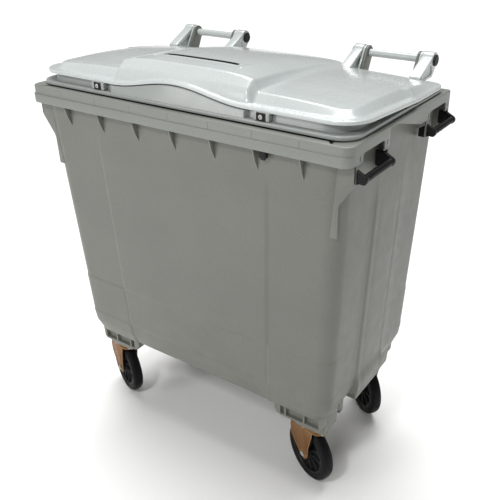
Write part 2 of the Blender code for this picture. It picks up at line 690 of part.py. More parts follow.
# ---------------------------------------------------------------- locks
def make_lock(name, x, lid_parent):
    """A triangular-key lock on the main lid's front skirt: a housing and a cylinder that turns."""
    low = (x - LOCK_HALF_X, LOCK_FRONT, LOCK_Z - LOCK_HALF_Z)
    high = (x + LOCK_HALF_X, LOCK_BACK, LOCK_Z + LOCK_HALF_Z)
    housing = place(box_mesh("lock_housing", low, high), "lock_housing_" + name, lid_parent, BLACK_PLASTIC)
    boolean(housing, "DIFFERENCE", helper(
        rod_mesh("lock_bore", LOCK_BORE_R, (x, LOCK_FRONT - 0.005, LOCK_Z), (x, LOCK_FRONT + 0.0085, LOCK_Z), 24),
        "lock_bore", lid_parent))
    axis = make_empty("lock_axis_" + name, (x, LOCK_FRONT, LOCK_Z), lid_parent)
    place(rod_mesh("lock_cylinder", LOCK_CORE_R, (0, -0.0025, 0), (0, 0.0080, 0), 24),
          "lock_cylinder_" + name, axis, STEEL)


# ---------------------------------------------------------------- side handles, hinge and small fittings
def make_handle(name, y, parent):
    """A round bar between two cheeks, in black plastic, on the right end."""
    bar_x, bar_z = HANDLE_BAR
    cheek = [(0.5730, 1.250), (0.5730, 1.208), (0.5940, 1.208), (0.6080, 1.2140)]
    cheek += arc((bar_x, bar_z), 0.013, -80, 60, 6) + [(0.5980, 1.250)]
    start, end = y - HANDLE_HALF, y + HANDLE_HALF
    handle = place(plate_mesh("cheek", cheek, "Y", start, start + CHEEK), "side_handle_" + name, parent,
                   BLACK_PLASTIC)
    boolean(handle, "UNION",
            helper(plate_mesh("cheek", cheek, "Y", end - CHEEK, end), "cheek", parent),
            helper(rod_mesh("bar", BAR_R, (bar_x, start + 0.002, bar_z), (bar_x, end - 0.002, bar_z), 20),
                   "bar", parent))


def make_hinge(name, side, parent):
    """The rod, spacer tube and end caps of one hinge."""
    inner, outer = UPPER_ARMS[0][0], UPPER_ARMS[1][1]

    def along(x):
        return (side * x, HINGE_Y, HINGE_Z)

    place(rod_mesh("rod", ROD_R, along(inner - 0.004), along(outer + 0.004), 16),
          "hinge_rod_" + name, parent, STEEL)
    tube = place(rod_mesh("tube", TUBE_R, along(POSTS[0][1] + 0.0004), along(POSTS[1][0] - 0.0004), 24),
                 "hinge_tube_" + name, parent, LID_GREY)
    boolean(tube, "DIFFERENCE", helper(
        rod_mesh("tube_bore", BORE_R, along(POSTS[0][0]), along(POSTS[1][1]), 16), "tube_bore", parent))
    for place_name, face, direction in (("inner", inner, -1), ("outer", outer, 1)):
        start = face + direction * 0.0005
        cap = place(rod_mesh("cap", 0.0185, along(start), along(start + direction * 0.0065), 24),
                    f"hinge_cap_{name}_{place_name}", parent, BLACK_PLASTIC)
        boolean(cap, "DIFFERENCE", helper(
            rod_mesh("cap_socket", ROD_R + GAP, along(start - direction * 0.002),
                     along(start + direction * 0.0042), 16), "cap_socket", parent))


def make_fittings(parent):
    """The catch under the front rim and the drain plug in the floor."""
    catch = [(-0.3385, RIM_BASE + 0.012), (-0.3240, RIM_BASE + 0.012), (-0.3240, 1.2390), (-0.3340, 1.2330),
             (-0.3385, 1.2390)]
    place(plate_mesh("catch", catch, "X", 0.318, 0.342), "lock_catch", parent, BLACK_PLASTIC)
    plug = place(rod_mesh("plug", 0.0235, (*DRAIN, 0.2770), (*DRAIN, 0.2850 - GAP), 24),
                 "drain_plug", parent, BLACK_PLASTIC)
    boolean(plug, "UNION",
            helper(rod_mesh("plug_shank", DRAIN_BORE_R - GAP, (*DRAIN, 0.2800), (*DRAIN, 0.3400), 20),
                   "plug_shank", parent),
            helper(box_mesh("plug_grip", (DRAIN[0] - 0.018, DRAIN[1] - 0.0035, 0.2680),
                            (DRAIN[0] + 0.018, DRAIN[1] + 0.0035, 0.2790)), "plug_grip", parent))


# ---------------------------------------------------------------- castors
def fork_leg_outline():
    axle = (TRAIL, WHEEL_R)
    return ([(-0.012, 0.2402), (-0.010, 0.2200), (0.0100, 0.1400)] + arc(axle, 0.023, 180, 320, 6)
            + [(0.0950, 0.1400), (0.1080, 0.1600), (0.1120, 0.1900), (0.1120, 0.2200), (0.0600, 0.2402)])


def make_fork(name, swivel, material):
    top = 0.2504
    fork = place(rod_mesh("fork_head", 0.037, (0, 0, 0.2385), (0, 0, top), 28), "fork_" + name, swivel, material)
    bridge = helper(box_mesh("bridge", (-0.0395, -0.0330, 0.2360), (0.0420, 0.0330, 0.2402)), "bridge", swivel)
    boolean(fork, "UNION", bridge)
    for side in (-1, 1):
        low, high = sorted((side * 0.0295, side * 0.0335))
        leg = plate_mesh("leg", fork_leg_outline(), "Y", low, high)
        boolean(fork, "UNION", helper(leg, "fork_leg", swivel))
    boolean(fork, "DIFFERENCE",
            helper(rod_mesh("kingpin_bore", 0.0064, (0, 0, 0.220), (0, 0, 0.270), 16), "kingpin_bore", swivel),
            helper(rod_mesh("axle_bore", 0.0064, (TRAIL, -0.05, WHEEL_R), (TRAIL, 0.05, WHEEL_R), 16),
                   "axle_bore", swivel))
    return fork


def make_wheel(name, axle):
    """A moulded wheel centre with a rubber tyre, both turned about the axle."""
    hub = [(0.0840, 0.0170), (0.0840, -0.0170), (0.0760, -0.0170), (0.0720, -0.0070), (0.0240, -0.0090),
           (0.0200, -0.0280), (0.0065, -0.0280), (0.0065, 0.0280), (0.0200, 0.0280), (0.0240, 0.0090),
           (0.0720, 0.0070), (0.0760, 0.0170)]
    half = WHEEL_HALF
    tyre = [(0.0870, half), (0.0843, half - 0.004), (0.0843, -half + 0.004), (0.0870, -half), (0.1000, -half),
            (0.1080, -half + 0.005), (WHEEL_R, -0.007), (WHEEL_R, 0.007), (0.1080, half - 0.005), (0.1000, half)]
    turned("wheel_hub_" + name, hub, axle, BLACK_PLASTIC)
    turned("tyre_" + name, tyre[::-1], axle, RUBBER)


def make_axle(name, swivel):
    """The axle bolt with its hexagon head, and its nut."""
    leg = 0.0335 + GAP

    def along(y):
        return (TRAIL, y, WHEEL_R)

    bolt = place(rod_mesh("bolt", 0.0060, along(-leg - 0.002), along(leg + 0.0085), 16),
                 "axle_bolt_" + name, swivel, STEEL)
    boolean(bolt, "UNION", helper(
        rod_mesh("bolt_head", 0.0105, along(-leg - 0.0065), along(-leg), 6), "bolt_head", swivel))
    nut = place(rod_mesh("nut", 0.0105, along(leg), along(leg + 0.0065), 6), "axle_nut_" + name, swivel, STEEL)
    boolean(nut, "DIFFERENCE", helper(
        rod_mesh("nut_bore", 0.0064, along(leg - 0.003), along(leg + 0.010), 16), "nut_bore", swivel))


def make_brake(name, swivel):
    """A foot pedal above the tyre, on a pin between the fork legs."""
    pivot = (0.0500, 0.2300)
    place(rod_mesh("pin", 0.0030, (pivot[0], -0.0290, pivot[1]), (pivot[0], 0.0290, pivot[1]), 14),
          "brake_pin_" + name, swivel, STEEL)
    axis = make_empty("brake_axis_" + name, (pivot[0], 0, pivot[1]), swivel)
    outline = arc((0, 0), 0.0058, 60, 300, 8)
    outline += [(0.0290, -0.0060), (0.0650, -0.0060), (0.0820, -0.0120), (0.0840, -0.0090),
                (0.0660, 0.0000), (0.0100, 0.0050)]
    pedal = place(plate_mesh("pedal", outline, "Y", -0.0250, 0.0250), "brake_pedal_" + name, axis, BLACK_PLASTIC)
    boolean(pedal, "DIFFERENCE", helper(
        rod_mesh("pedal_bore", 0.0033, (0, -0.03, 0), (0, 0.03, 0), 14), "pedal_bore", axis))


def make_castor(name, x, y, heading, body):
    swivel = make_empty("swivel_axis_" + name, (x, y, 0), body, heading)
    plate = place(box_mesh("plate", (-0.0450, -0.0340, 0.2507), (0.0450, 0.0340, PAD_BASE - GAP)),
                  "castor_plate_" + name, body, ZINC)
    plate.location = (x, y, 0)
    boolean(plate, "DIFFERENCE", helper(
        rod_mesh("plate_bore", 0.0064, (x, y, 0.240), (x, y, 0.270), 16), "plate_bore", body))
    kingpin = place(rod_mesh("kingpin", 0.0060, (x, y, 0.2310), (x, y, PAD_BASE - GAP), 16),
                    "kingpin_" + name, body, STEEL)
    boolean(kingpin, "UNION", helper(
        rod_mesh("kingpin_head", 0.0105, (x, y, 0.2285), (x, y, 0.2357), 6), "kingpin_head", body))
    make_fork(name, swivel, ZINC)
    axle = make_empty("axle_axis_" + name, (TRAIL, 0, WHEEL_R), swivel)
    make_wheel(name, axle)
    make_axle(name, swivel)
    if y > 0:
        make_brake(name, swivel)


# ---------------------------------------------------------------- the bin
def build_bin():
    body = make_empty("wheelie_bin_body", (BODY_X, BODY_Y, 0))
    make_tub(body)
    make_lower_lid(body)
    upper = make_upper_lid(body)
    add_upper_arms(upper, body)
    slot = helper(box_mesh("slot", (-SLOT_X, SLOT_Y - SLOT_WIDTH / 2, 1.40), (SLOT_X, SLOT_Y + SLOT_WIDTH / 2, 1.47)),
                  "paper_slot", body)
    boolean(upper, "DIFFERENCE", slot)
    lid_buffers(body)
    for name, side in (("left", -1), ("right", 1)):
        make_lock(name, side * LOCK_X, body)
        make_hinge(name, side, body)
    for name, y in zip(("front_right", "rear_right"), HANDLE_Y):
        make_handle(name, y, body)
    make_fittings(body)
    for name, x_sign, y_sign, heading in CASTORS:
        make_castor(name, x_sign * SWIVEL_X, y_sign * SWIVEL_Y, heading, body)
    bpy.context.view_layer.update()


build_bin()
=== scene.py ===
"""Looks of the four-wheeled wheelie bin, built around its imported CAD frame.

Metres, +Z up, the bin's front faces -Y. Shapes are worked out in the rim's own frame, whose x = y = 0 is
the middle of the rim, and each finished piece is then moved by RIM_CENTRE.
"""

import json
import math

import bmesh
import bpy
from mathutils import Matrix, Vector


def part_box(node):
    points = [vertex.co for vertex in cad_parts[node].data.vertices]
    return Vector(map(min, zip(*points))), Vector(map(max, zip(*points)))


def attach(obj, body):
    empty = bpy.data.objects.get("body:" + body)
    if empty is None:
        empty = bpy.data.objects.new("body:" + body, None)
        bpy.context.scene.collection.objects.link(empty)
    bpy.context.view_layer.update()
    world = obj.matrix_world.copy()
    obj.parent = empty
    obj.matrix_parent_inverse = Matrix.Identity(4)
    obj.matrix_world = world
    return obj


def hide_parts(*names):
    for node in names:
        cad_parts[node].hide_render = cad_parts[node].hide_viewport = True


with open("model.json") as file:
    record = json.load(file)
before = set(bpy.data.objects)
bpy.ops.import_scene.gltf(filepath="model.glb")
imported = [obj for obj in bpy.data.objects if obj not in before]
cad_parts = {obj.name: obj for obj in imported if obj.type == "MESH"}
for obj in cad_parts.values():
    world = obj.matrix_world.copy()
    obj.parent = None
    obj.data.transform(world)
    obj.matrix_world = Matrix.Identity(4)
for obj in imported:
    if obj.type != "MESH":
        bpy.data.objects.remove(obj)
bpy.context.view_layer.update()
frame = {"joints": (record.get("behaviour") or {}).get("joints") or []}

# ---------------------------------------------------------------- places read from the frame
JOINTS = {joint["name"]: joint for joint in frame["joints"]}
HINGE_WORLD = Vector(JOINTS["main_lid_hinge"]["pos_m"])
HINGE_Y, HINGE_Z = 0.378, HINGE_WORLD.z
RIM_CENTRE = Vector((HINGE_WORLD.x, HINGE_WORLD.y - HINGE_Y, 0))
CASTOR_NAMES = ("front_right", "front_left", "rear_right", "rear_left")

# ---------------------------------------------------------------- dimensions of the tub
WALL = 0.005
RIM_X, RIM_Y = 0.6, 0.344
RIM_TOP, RIM_LEDGE, RIM_BASE = 1.317, 1.29, 1.262
RIM_FOOT = 1.295                # lower edge of the rim round the mouth
MOUTH_X, MOUTH_Y = 0.567, 0.316
RIM_RADII = (0.032, 0.01)       # front and rear corners
RIM_EDGE, RIM_SKIN = 0.004, 0.0045      # round of the top edge, thickness of the band
RIM_BACK, RIM_PROUD = -0.0022, 0.003    # how far the front stands out above and below the ledge
RIM_HOLLOW = -0.028             # how far in the hollow under the top reaches
HANDLE_WINDOWS = ((-0.271, -0.145), (0.175, 0.305))
WINDOW_R, WINDOW_Z = 0.008, 1.278
END_NOTCH = ((-0.1135, 1.245), (-0.1135, 1.3105), (-0.066, 1.3105), (0.105, 1.264), (0.15, 1.264),
             (0.15, 1.245))
RIM_SLITS = (-0.29, -0.129, 0.163, 0.322)
# Each flange under the rim, along Y: its start, its end and the start of its hanging leg.
FLANGES = ((-0.311, -0.271, -0.311), (-0.145, -0.114, -0.124), (0.1505, 0.175, 0.1505),
           (0.305, 0.3385, 0.3285))
FLANGE_LEG = 0.01
TUB_R, TUB_FILLET = 0.052, 0.01
TUB_SECTIONS = (
    (0.345, 0.51, 0.278), (0.352, 0.516, 0.284), (0.395, 0.531, 0.298), (0.44, 0.5355, 0.3015),
    (0.6, 0.5425, 0.305), (0.93, 0.558, 0.311), (1.15, 0.5665, 0.3165), (1.2, 0.5685, 0.318),
    (1.32, 0.5725, 0.3215),
)                               # height, half width, half depth
TUB_BASE = TUB_SECTIONS[0][0]
CREASE_X = ((0.345, 0.3), (0.44, 0.31), (1.32, 0.335))     # front crease: height, half width
FOLD = 0.006                    # half the width of a panel's edge
PANEL_OUT = 0.0045
END_PANEL_Y, END_GROOVE_Y = 0.1, 0.072
GUSSET_PITCH, GUSSET_TIP, RIB_HALF = 0.15, 1.187, 0.0025
PAD_BASE = 0.256
SKIRT_BASE, SKIRT_Y = 0.293, 0.272
POCKETS = ((0.342, 0.358), (0.365, 0.432), (0.439, 0.492))      # recesses in a pad's skirt

# ---------------------------------------------------------------- dimensions of the lids
UPPER_LID_X, UPPER_LID_Y, LID_REAR = 0.597, 0.305, 0.318
LOWER_LID_X, LOWER_LID_Y = 0.588, 0.315
LOWER_LID_Z, BEAD_TOP = 1.3195, 1.331
LID_R, LID_R_REAR, LID_WALL = 0.06, 0.045, 0.004
UPPER_LID_R, UPPER_LID_R_REAR = 0.09, 0.05
LIP_Z, LIP_REAR_Z, LIP_DEPTH, LIP_ROUND = 1.3645, 1.34, 0.009, 0.003
LIP_FALL, LIP_FALL_FROM = 0.057, -0.24
ARCH_X, ARCH_RISE = 0.25, 0.031
STEP_LOW, STEP_HIGH = 0.066, 0.094      # where along Y the lids' sides step down
BULGE_FRONT_X, BULGE_TAPER, BULGE_FOOT_X = 0.243, 0.02, 0.262
BULGE_TOP, BULGE_SLOPE, BULGE_BEND = 1.4005, 0.09, 0.02
CROWN_RISE, CROWN_X, CROWN_Y, CROWN_FRONT, CROWN_REAR = 0.03, 0.25, -0.03, 0.3, 0.36
DOME_TOP, DOME_SLOPE, DOME_BEND, DOME_CROWN = 1.384, 0.034, 0.19, 0.01
SHOULDER_INSET, FACE_INSET = 0.055, 0.025
SLOT_X, SLOT_Y, SLOT_WIDTH = 0.143, -0.175, 0.018
RIDGE_X, RIDGE_RISE = 0.163, 0.0022     # the ridge beside each end of the slot
SLOT_SHADE_X, SLOT_SHADE_Y, SLOT_SHADE_FOOT, SLOT_SHADE_THICK = 0.1345, -0.1669, 1.384, 0.001   # dark sheet behind the slot: painted shade in the slot's opening
EDGE_INSETS = [0, 0.0004, 0.001, 0.0018, 0.003, 0.0045, 0.006, 0.0075, 0.009, 0.0105, 0.012, 0.014, 0.0165,
               0.019, 0.0215, 0.024, 0.0265, 0.029, 0.032, 0.035, 0.038, 0.041, 0.044, 0.047, 0.05, 0.053,
               0.056, 0.059, 0.063, 0.068, 0.073, 0.078, 0.084, UPPER_LID_R]

# ---------------------------------------------------------------- dimensions of the fittings
BARREL_R, ROD_R, TUBE_R, TUBE_BORE = 0.026, 0.005, 0.0125, 0.0056
UPPER_ARMS = ((0.234, 0.27), (0.484, 0.522))
LOWER_ARMS = ((0.2715, 0.2785), (0.4755, 0.4825))
POSTS = ((0.28, 0.288), (0.466, 0.474))
# Turned shapes, as (radius, height) points.
HINGE_CAP = ((0, 0.0042), (0.0054, 0.0042), (0.0054, 0), (0.0165, 0), (0.0185, 0.0008), (0.0185, 0.004),
             (0.0178, 0.0054), (0.016, 0.0063), (0.013, 0.0065), (0.0118, 0.0056), (0, 0.0056))
LOCK_COLLAR = ((0.0092, 0.002), (0.0092, -0.0002), (0.0086, -0.0008), (0.0074, -0.0008), (0.007, 0),
               (0.007, 0.002))
LOCK_SEAT_X, LOCK_SEAT_Z, LOCK_SEAT_BACK = 0.011, 0.0006, 0.0012    # how far a seat goes past its housing
CLEAR = Vector((0.0001, 0.0001, 0.0001))      # gap between a seat and its housing
HANDLE_BAR = (0.617, 1.2255)
HANDLE_Y = {"front": -0.218, "rear": 0.245}
HANDLE_HALF, CHEEK, GRIP_RIBS = 0.087, 0.011, 22        # half length, cheek thickness, ribs on the bar
TRAIL, WHEEL_R, WHEEL_HALF = 0.033, 0.112, 0.021
LEG_FACE, HEX_R = 0.0338, 0.0105        # outer face of a fork leg, bolt head's radius
BRAKE_X, BRAKE_Z = 0.05, 0.23           # the brake's pivot
PEDAL = ((0.029, -0.006), (0.065, -0.006), (0.082, -0.012), (0.084, -0.009), (0.066, 0), (0.01, 0.005))
SEGMENTS = 64

# ---------------------------------------------------------------- camera and light
CAMERA_ANGLES = (33.11, 28.08, -0.12)   # degrees: azimuth from the front, elevation, roll
CAMERA_AIM, CAMERA_DISTANCE = (-0.0391, 0.3302, 0.5487), 2.764
CAMERA_LENS, CAMERA_SHIFT = 47.23, (-0.0654, 0.0032)
WORLD_STRENGTH, OVERHEAD_STRENGTH = 0.26, 3.4
# name, place, aim, size, power
SOFT_LIGHTS = (
    ("front_fill", (-2.6, -4.4, 2.2), (0.0, 0.0, 0.7), 2.0, 62),
    ("shoulder_light", (0.4, -3.4, 4.0), (0.0, 0.0, 1.3), 0.5, 70),
)


# ---------------------------------------------------------------- numbers
def smooth(value, low, high):
    part = min(max((value - low) / (high - low), 0.0), 1.0)
    return part * part * (3 - 2 * part)


def spaced(start, end, count):
    return [start + (end - start) * i / (count - 1) for i in range(count)]


def between(table, value):
    """Straight-line interpolation in rows of (value, result, ...)."""
    for low, high in zip(table, table[1:]):
        if value <= high[0]:
            part = max((value - low[0]) / (high[0] - low[0]), 0.0)
            return [a + (b - a) * part for a, b in zip(low[1:], high[1:])]
    return list(table[-1][1:])


def arc(centre, radius, start, end, steps):
    turn = [math.radians(a) for a in spaced(start, end, steps + 1)]
    return [(centre[0] + radius * math.cos(a), centre[1] + radius * math.sin(a)) for a in turn]


def plan_path(half_x, half_y, rear_y, r_front, r_rear, front_xs, end_ys, steps=10):
    """A rounded rectangle seen from above, with extra points at the given stations."""
    path = [(x, -half_y) for x in front_xs]
    path += arc((half_x - r_front, -half_y + r_front), r_front, -90, 0, steps)
    path += [(half_x, y) for y in end_ys]
    path += arc((half_x - r_rear, rear_y - r_rear), r_rear, 0, 90, steps)
    path += [(x, rear_y) for x in reversed(front_xs)]
    path += arc((-half_x + r_rear, rear_y - r_rear), r_rear, 90, 180, steps)
    path += [(-half_x, y) for y in reversed(end_ys)]
    path += arc((-half_x + r_front, -half_y + r_front), r_front, 180, 270, steps)
    return path


# ---------------------------------------------------------------- meshes
def mesh_from(build, recalculate=True):
    mesh = bpy.data.meshes.new("shape")
    bm = bmesh.new()
    build(bm)
    if recalculate:
        bmesh.ops.recalc_face_normals(bm, faces=bm.faces)
    bm.to_mesh(mesh)
    bm.free()
    return mesh


def joined(*meshes):
    """One mesh of several, each given as a mesh or as (mesh, matrix)."""
    def build(bm):
        for entry in meshes:
            mesh, matrix = entry if isinstance(entry, tuple) else (entry, Matrix.Identity(4))
            copy = mesh.copy()
            copy.transform(matrix)
            bm.from_mesh(copy)
            bpy.data.meshes.remove(copy)
    return mesh_from(build, False)


def stitch(bm, lower, upper):
    """Faces between two closed loops of vertices, either of which may be a single pole."""
    count = max(len(lower), len(upper))
    for i in range(count):
        j = (i + 1) % count
        quad = [lower[i % len(lower)], lower[j % len(lower)]]
        quad += [upper[j % len(upper)], upper[i % len(upper)]]
        corners = list(dict.fromkeys(quad))
        if len(corners) > 2:
            bm.faces.new(corners)


def box_mesh(low, high):
    corners = list(zip(low, high))
    low, high = Vector([min(pair) for pair in corners]), Vector([max(pair) for pair in corners])

    def build(bm):
        scale = Matrix.Diagonal((*(high - low), 1))
        bmesh.ops.create_cube(bm, size=1, matrix=Matrix.Translation((low + high) / 2) @ scale)

    return mesh_from(build)


def along(start, end):
    """Matrix that carries +Z from the origin onto the line from start to end."""
    start, end = Vector(start), Vector(end)
    return Matrix.Translation(start) @ (end - start).to_track_quat("Z", "Y").to_matrix().to_4x4()


def lathe_mesh(profile, start=(0, 0, 0), end=(0, 0, 1), segments=SEGMENTS):
    """(radius, height) points turned about the line from start towards end. A radius of 0 closes a pole."""
    matrix = along(start, end)

    def build(bm):
        rings = []
        for radius, height in profile:
            turns = [0] if radius == 0 else [2 * math.pi * i / segments for i in range(segments)]
            points = [Vector((radius * math.cos(a), radius * math.sin(a), height)) for a in turns]
            rings.append([bm.verts.new(matrix @ point) for point in points])
        if profile[0][0] != 0:
            rings.append(rings[0])
        for lower, upper in zip(rings, rings[1:]):
            stitch(bm, lower, upper)

    return mesh_from(build)


def rounded_rod(radius, start, end, chamfer=0.001, segments=SEGMENTS):
    length = (Vector(end) - Vector(start)).length
    inner = radius - chamfer
    bend = [(chamfer * math.sin(a), chamfer * math.cos(a)) for a in (0.5, 1.05)]
    profile = [(0, 0), (inner, 0)] + [(inner + x, chamfer - y) for x, y in bend]
    profile += [(radius, chamfer), (radius, length - chamfer)]
    profile += [(inner + x, length - chamfer + y) for x, y in bend[::-1]]
    profile += [(inner, length), (0, length)]
    return lathe_mesh(profile, start, end, segments)


def plate_mesh(outline, axis, low, high):
    """A flat outline extruded along X from (y, z) points, along Y from (x, z) or along Z from (x, y)."""
    low, high = min(low, high), max(low, high)

    def at(a, b, c):
        return {"X": (c, a, b), "Y": (a, c, b), "Z": (a, b, c)}[axis]

    def build(bm):
        lower = [bm.verts.new(at(a, b, low)) for a, b in outline]
        upper = [bm.verts.new(at(a, b, high)) for a, b in outline]
        bm.faces.new(lower)
        bm.faces.new(upper)
        stitch(bm, lower, upper)

    return mesh_from(build)


def loft_mesh(rings, cap_first=False, cap_last=False, join_last=False):
    def build(bm):
        loops = [[bm.verts.new(point) for point in ring] for ring in rings]
        after = loops[1:] + (loops[:1] if join_last else [])
        for lower, upper in zip(loops, after):
            stitch(bm, lower, upper)
        if cap_first:
            bm.faces.new(loops[0][::-1])
        if cap_last:
            bm.faces.new(loops[-1])

    return mesh_from(build)


def tube_mesh(points, radius, sides=10):
    """A round bead that follows the points, closed at both ends."""
    points = [Vector(p) for p in points]
    circle = [2 * math.pi * k / sides for k in range(sides)]
    spokes = [Vector((radius * math.cos(a), radius * math.sin(a), 0)) for a in circle]
    rings = []
    for i, point in enumerate(points):
        ahead = points[min(i + 1, len(points) - 1)] - points[max(i - 1, 0)]
        turn = ahead.to_track_quat("Z", "Y").to_matrix()
        rings.append([point + turn @ spoke for spoke in spokes])
    return loft_mesh(rings, cap_first=True, cap_last=True)


# ---------------------------------------------------------------- pieces
def placed(name, data):
    item = bpy.data.objects.new(name, data)
    bpy.context.scene.collection.objects.link(item)
    return item


def piece(name, mesh, body, look, node=None, shift=True, sharp=32):
    """A finished mesh as a piece on a CAD body, in place of a CAD node where one is named.

    look is a material and its slot. shift moves the mesh from the rim's frame into the world's.
    """
    material, slot = look
    item = placed(name, mesh)
    if shift:
        mesh.transform(Matrix.Translation(RIM_CENTRE))
    mesh.materials.clear()
    mesh.materials.append(material)
    mesh.shade_smooth()
    mesh.set_sharp_from_angle(angle=math.radians(sharp))
    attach(item, body)
    if node:
        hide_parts(node)


def cad_box(node):
    """The low and high corners of a CAD node's box, its middle and half its width."""
    low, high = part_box(node)
    return low, high, (low + high) / 2, (high.x - low.x) / 2


def modified(mesh, kind, **settings):
    """The mesh after one modifier with the given settings."""
    item = placed("work", mesh)
    modifier = item.modifiers.new(kind, kind)
    for name, value in settings.items():
        setattr(modifier, name, value)
    bpy.context.view_layer.update()
    graph = bpy.context.evaluated_depsgraph_get()
    result = bpy.data.meshes.new_from_object(item.evaluated_get(graph))
    bpy.data.objects.remove(item, do_unlink=True)
    return result


def bevelled(mesh, width, segments=2, angle=35):
    """The mesh with its edges rounded."""
    return modified(mesh, "BEVEL", width=width, segments=segments, limit_method="ANGLE",
                    angle_limit=math.radians(angle), use_clamp_overlap=True)


def carved(mesh, cutter):
    """The mesh less what the cutter covers."""
    tool = placed("tool", cutter)
    result = modified(mesh, "BOOLEAN", operation="DIFFERENCE", object=tool)
    bpy.data.objects.remove(tool, do_unlink=True)
    return result


def thickened(mesh, thickness):
    return modified(mesh, "SOLIDIFY", thickness=thickness, offset=-1, use_even_offset=True)


def plates_both_sides(outline, spans):
    """Rounded plates that cross the given spans of X, on the left and on the right."""
    return [bevelled(plate_mesh(outline, "X", side * x0, side * x1), 0.0012, 2)
            for side in (-1, 1) for x0, x1 in spans]


# ---------------------------------------------------------------- materials
DUST = (0.21, 0.19, 0.155)


class Nodes:
    """Builds a Principled material's node tree with short calls."""

    def __init__(self, name):
        self.material = bpy.data.materials.new(name)
        self.material.use_nodes = True
        self.tree = self.material.node_tree
        self.shader = self.tree.nodes["Principled BSDF"]
        self.coordinates = self.tree.nodes.new("ShaderNodeTexCoord").outputs["Object"]

    def link(self, source, target):
        self.tree.links.new(source, target)

    def new(self, kind, **values):
        """A node of a kind, with values for its inputs, where _ stands for a space in a name."""
        node = self.tree.nodes.new(kind)
        for name, value in values.items():
            node.inputs[name.replace("_", " ")].default_value = value
        return node

    def noise(self, scale, detail=3.0, roughness=0.5, stretch=(1, 1, 1), distortion=0.0):
        mapping = self.new("ShaderNodeMapping", Scale=stretch)
        self.link(self.coordinates, mapping.inputs["Vector"])
        node = self.new("ShaderNodeTexNoise", Scale=scale, Detail=detail, Roughness=roughness,
                        Distortion=distortion)
        self.link(mapping.outputs["Vector"], node.inputs["Vector"])
        return node.outputs["Fac"]

    def range(self, source, low, high, to_low=0.0, to_high=1.0):
        node = self.new("ShaderNodeMapRange", From_Min=low, From_Max=high, To_Min=to_low, To_Max=to_high)
        node.interpolation_type = "SMOOTHSTEP"
        self.link(source, node.inputs["Value"])
        return node.outputs["Result"]

    def math(self, operation, first, second):
        node = self.tree.nodes.new("ShaderNodeMath")
        node.operation = operation
        for socket, value in zip(node.inputs, (first, second)):
            if isinstance(value, (int, float)):
                socket.default_value = value
            else:
                self.link(value, socket)
        return node.outputs["Value"]

    def mix(self, amount, first, second):
        node = self.tree.nodes.new("ShaderNodeMix")
        node.data_type = "RGBA"
        sockets = [s for s in node.inputs if s.type == "RGBA"]
        self.link(amount, node.inputs["Factor"])
        for socket, value in zip(sockets, (first, second)):
            if isinstance(value, tuple):
                socket.default_value = (*value, 1.0)
            else:
                self.link(value, socket)
        return next(s for s in node.outputs if s.type == "RGBA")

    def over(self, colour, mask, amount, tint):
        """The tint laid over the colour by mask times amount."""
        return self.mix(self.math("MULTIPLY", mask, amount), colour, tint)

    def height(self):
        node = self.tree.nodes.new("ShaderNodeSeparateXYZ")
        self.link(self.coordinates, node.inputs["Vector"])
        return node.outputs["Z"]

    def edges(self, low=0.52, high=0.6):
        """1 on worn convex edges and 0 elsewhere."""
        node = self.tree.nodes.new("ShaderNodeNewGeometry")
        return self.range(node.outputs["Pointiness"], low, high)

    def bump(self, *layers):
        """Bumps of (height socket, strength, distance), one over the other."""
        normal = None
        for source, strength, distance in layers:
            node = self.new("ShaderNodeBump", Strength=strength, Distance=distance)
            self.link(source, node.inputs["Height"])
            if normal:
                self.link(normal, node.inputs["Normal"])
            normal = node.outputs["Normal"]
        self.link(normal, self.shader.inputs["Normal"])

    def finish(self, colour, roughness, **constants):
        self.link(colour, self.shader.inputs["Base Color"])
        self.link(roughness, self.shader.inputs["Roughness"])
        for name, value in constants.items():
            self.shader.inputs[name.replace("_", " ")].default_value = value
        return self.material


def polyethylene(name, dark, light, worn, roughness, flecks, grain, dust=0, coat=0, wear=0.35, wave=0.1):
    """Rotational-moulded polyethylene: mottled colour, orange-peel grain, faint scuffs, dust low down."""
    nodes = Nodes(name)
    mottle = nodes.range(nodes.noise(5.0, 3.0, 0.5), 0.25, 0.75)
    speckle = nodes.range(nodes.noise(300.0, 3.0, 0.7), 0.36, 0.68)
    scuffs = nodes.range(nodes.noise(34.0, 4.0, 0.7, (1.0, 1.0, 14.0), 0.6), 0.66, 0.74)
    colour = nodes.mix(mottle, dark, light)
    colour = nodes.over(colour, speckle, flecks, worn)
    colour = nodes.over(colour, scuffs, 0.1, worn)
    colour = nodes.over(colour, nodes.edges(), wear, worn)
    low_down = nodes.range(nodes.height(), 0.25, 0.75, dust, 0.0)
    patchy = nodes.range(nodes.noise(14.0, 6.0, 0.65), 0.35, 0.7)
    colour = nodes.over(colour, low_down, patchy, DUST)
    rough = nodes.range(nodes.noise(26.0, 4.0, 0.6), 0.25, 0.75, roughness - 0.04, roughness + 0.05)
    rough = nodes.math("ADD", rough, nodes.math("MULTIPLY", scuffs, 0.1))
    nodes.bump((nodes.noise(2.6, 2.0, 0.5), wave, 0.006), (nodes.noise(420.0, 3.0, 0.6), grain, 0.0007))
    return nodes.finish(colour, rough, IOR=1.5, Specular_IOR_Level=0.5, Coat_Weight=coat,
                        Coat_Roughness=0.12)


def black_plastic():
    nodes = Nodes("black_moulded_plastic")
    mottle = nodes.range(nodes.noise(30.0, 5.0, 0.6), 0.3, 0.7)
    colour = nodes.mix(mottle, (0.005, 0.005, 0.006), (0.01, 0.01, 0.011))
    colour = nodes.over(colour, nodes.edges(), 0.3, (0.06, 0.06, 0.058))
    rough = nodes.range(nodes.noise(60.0, 4.0, 0.6), 0.3, 0.7, 0.3, 0.46)
    nodes.bump((nodes.noise(1500.0, 2.0, 0.5), 0.25, 0.0004))
    return nodes.finish(colour, rough, IOR=1.49, Specular_IOR_Level=0.16)


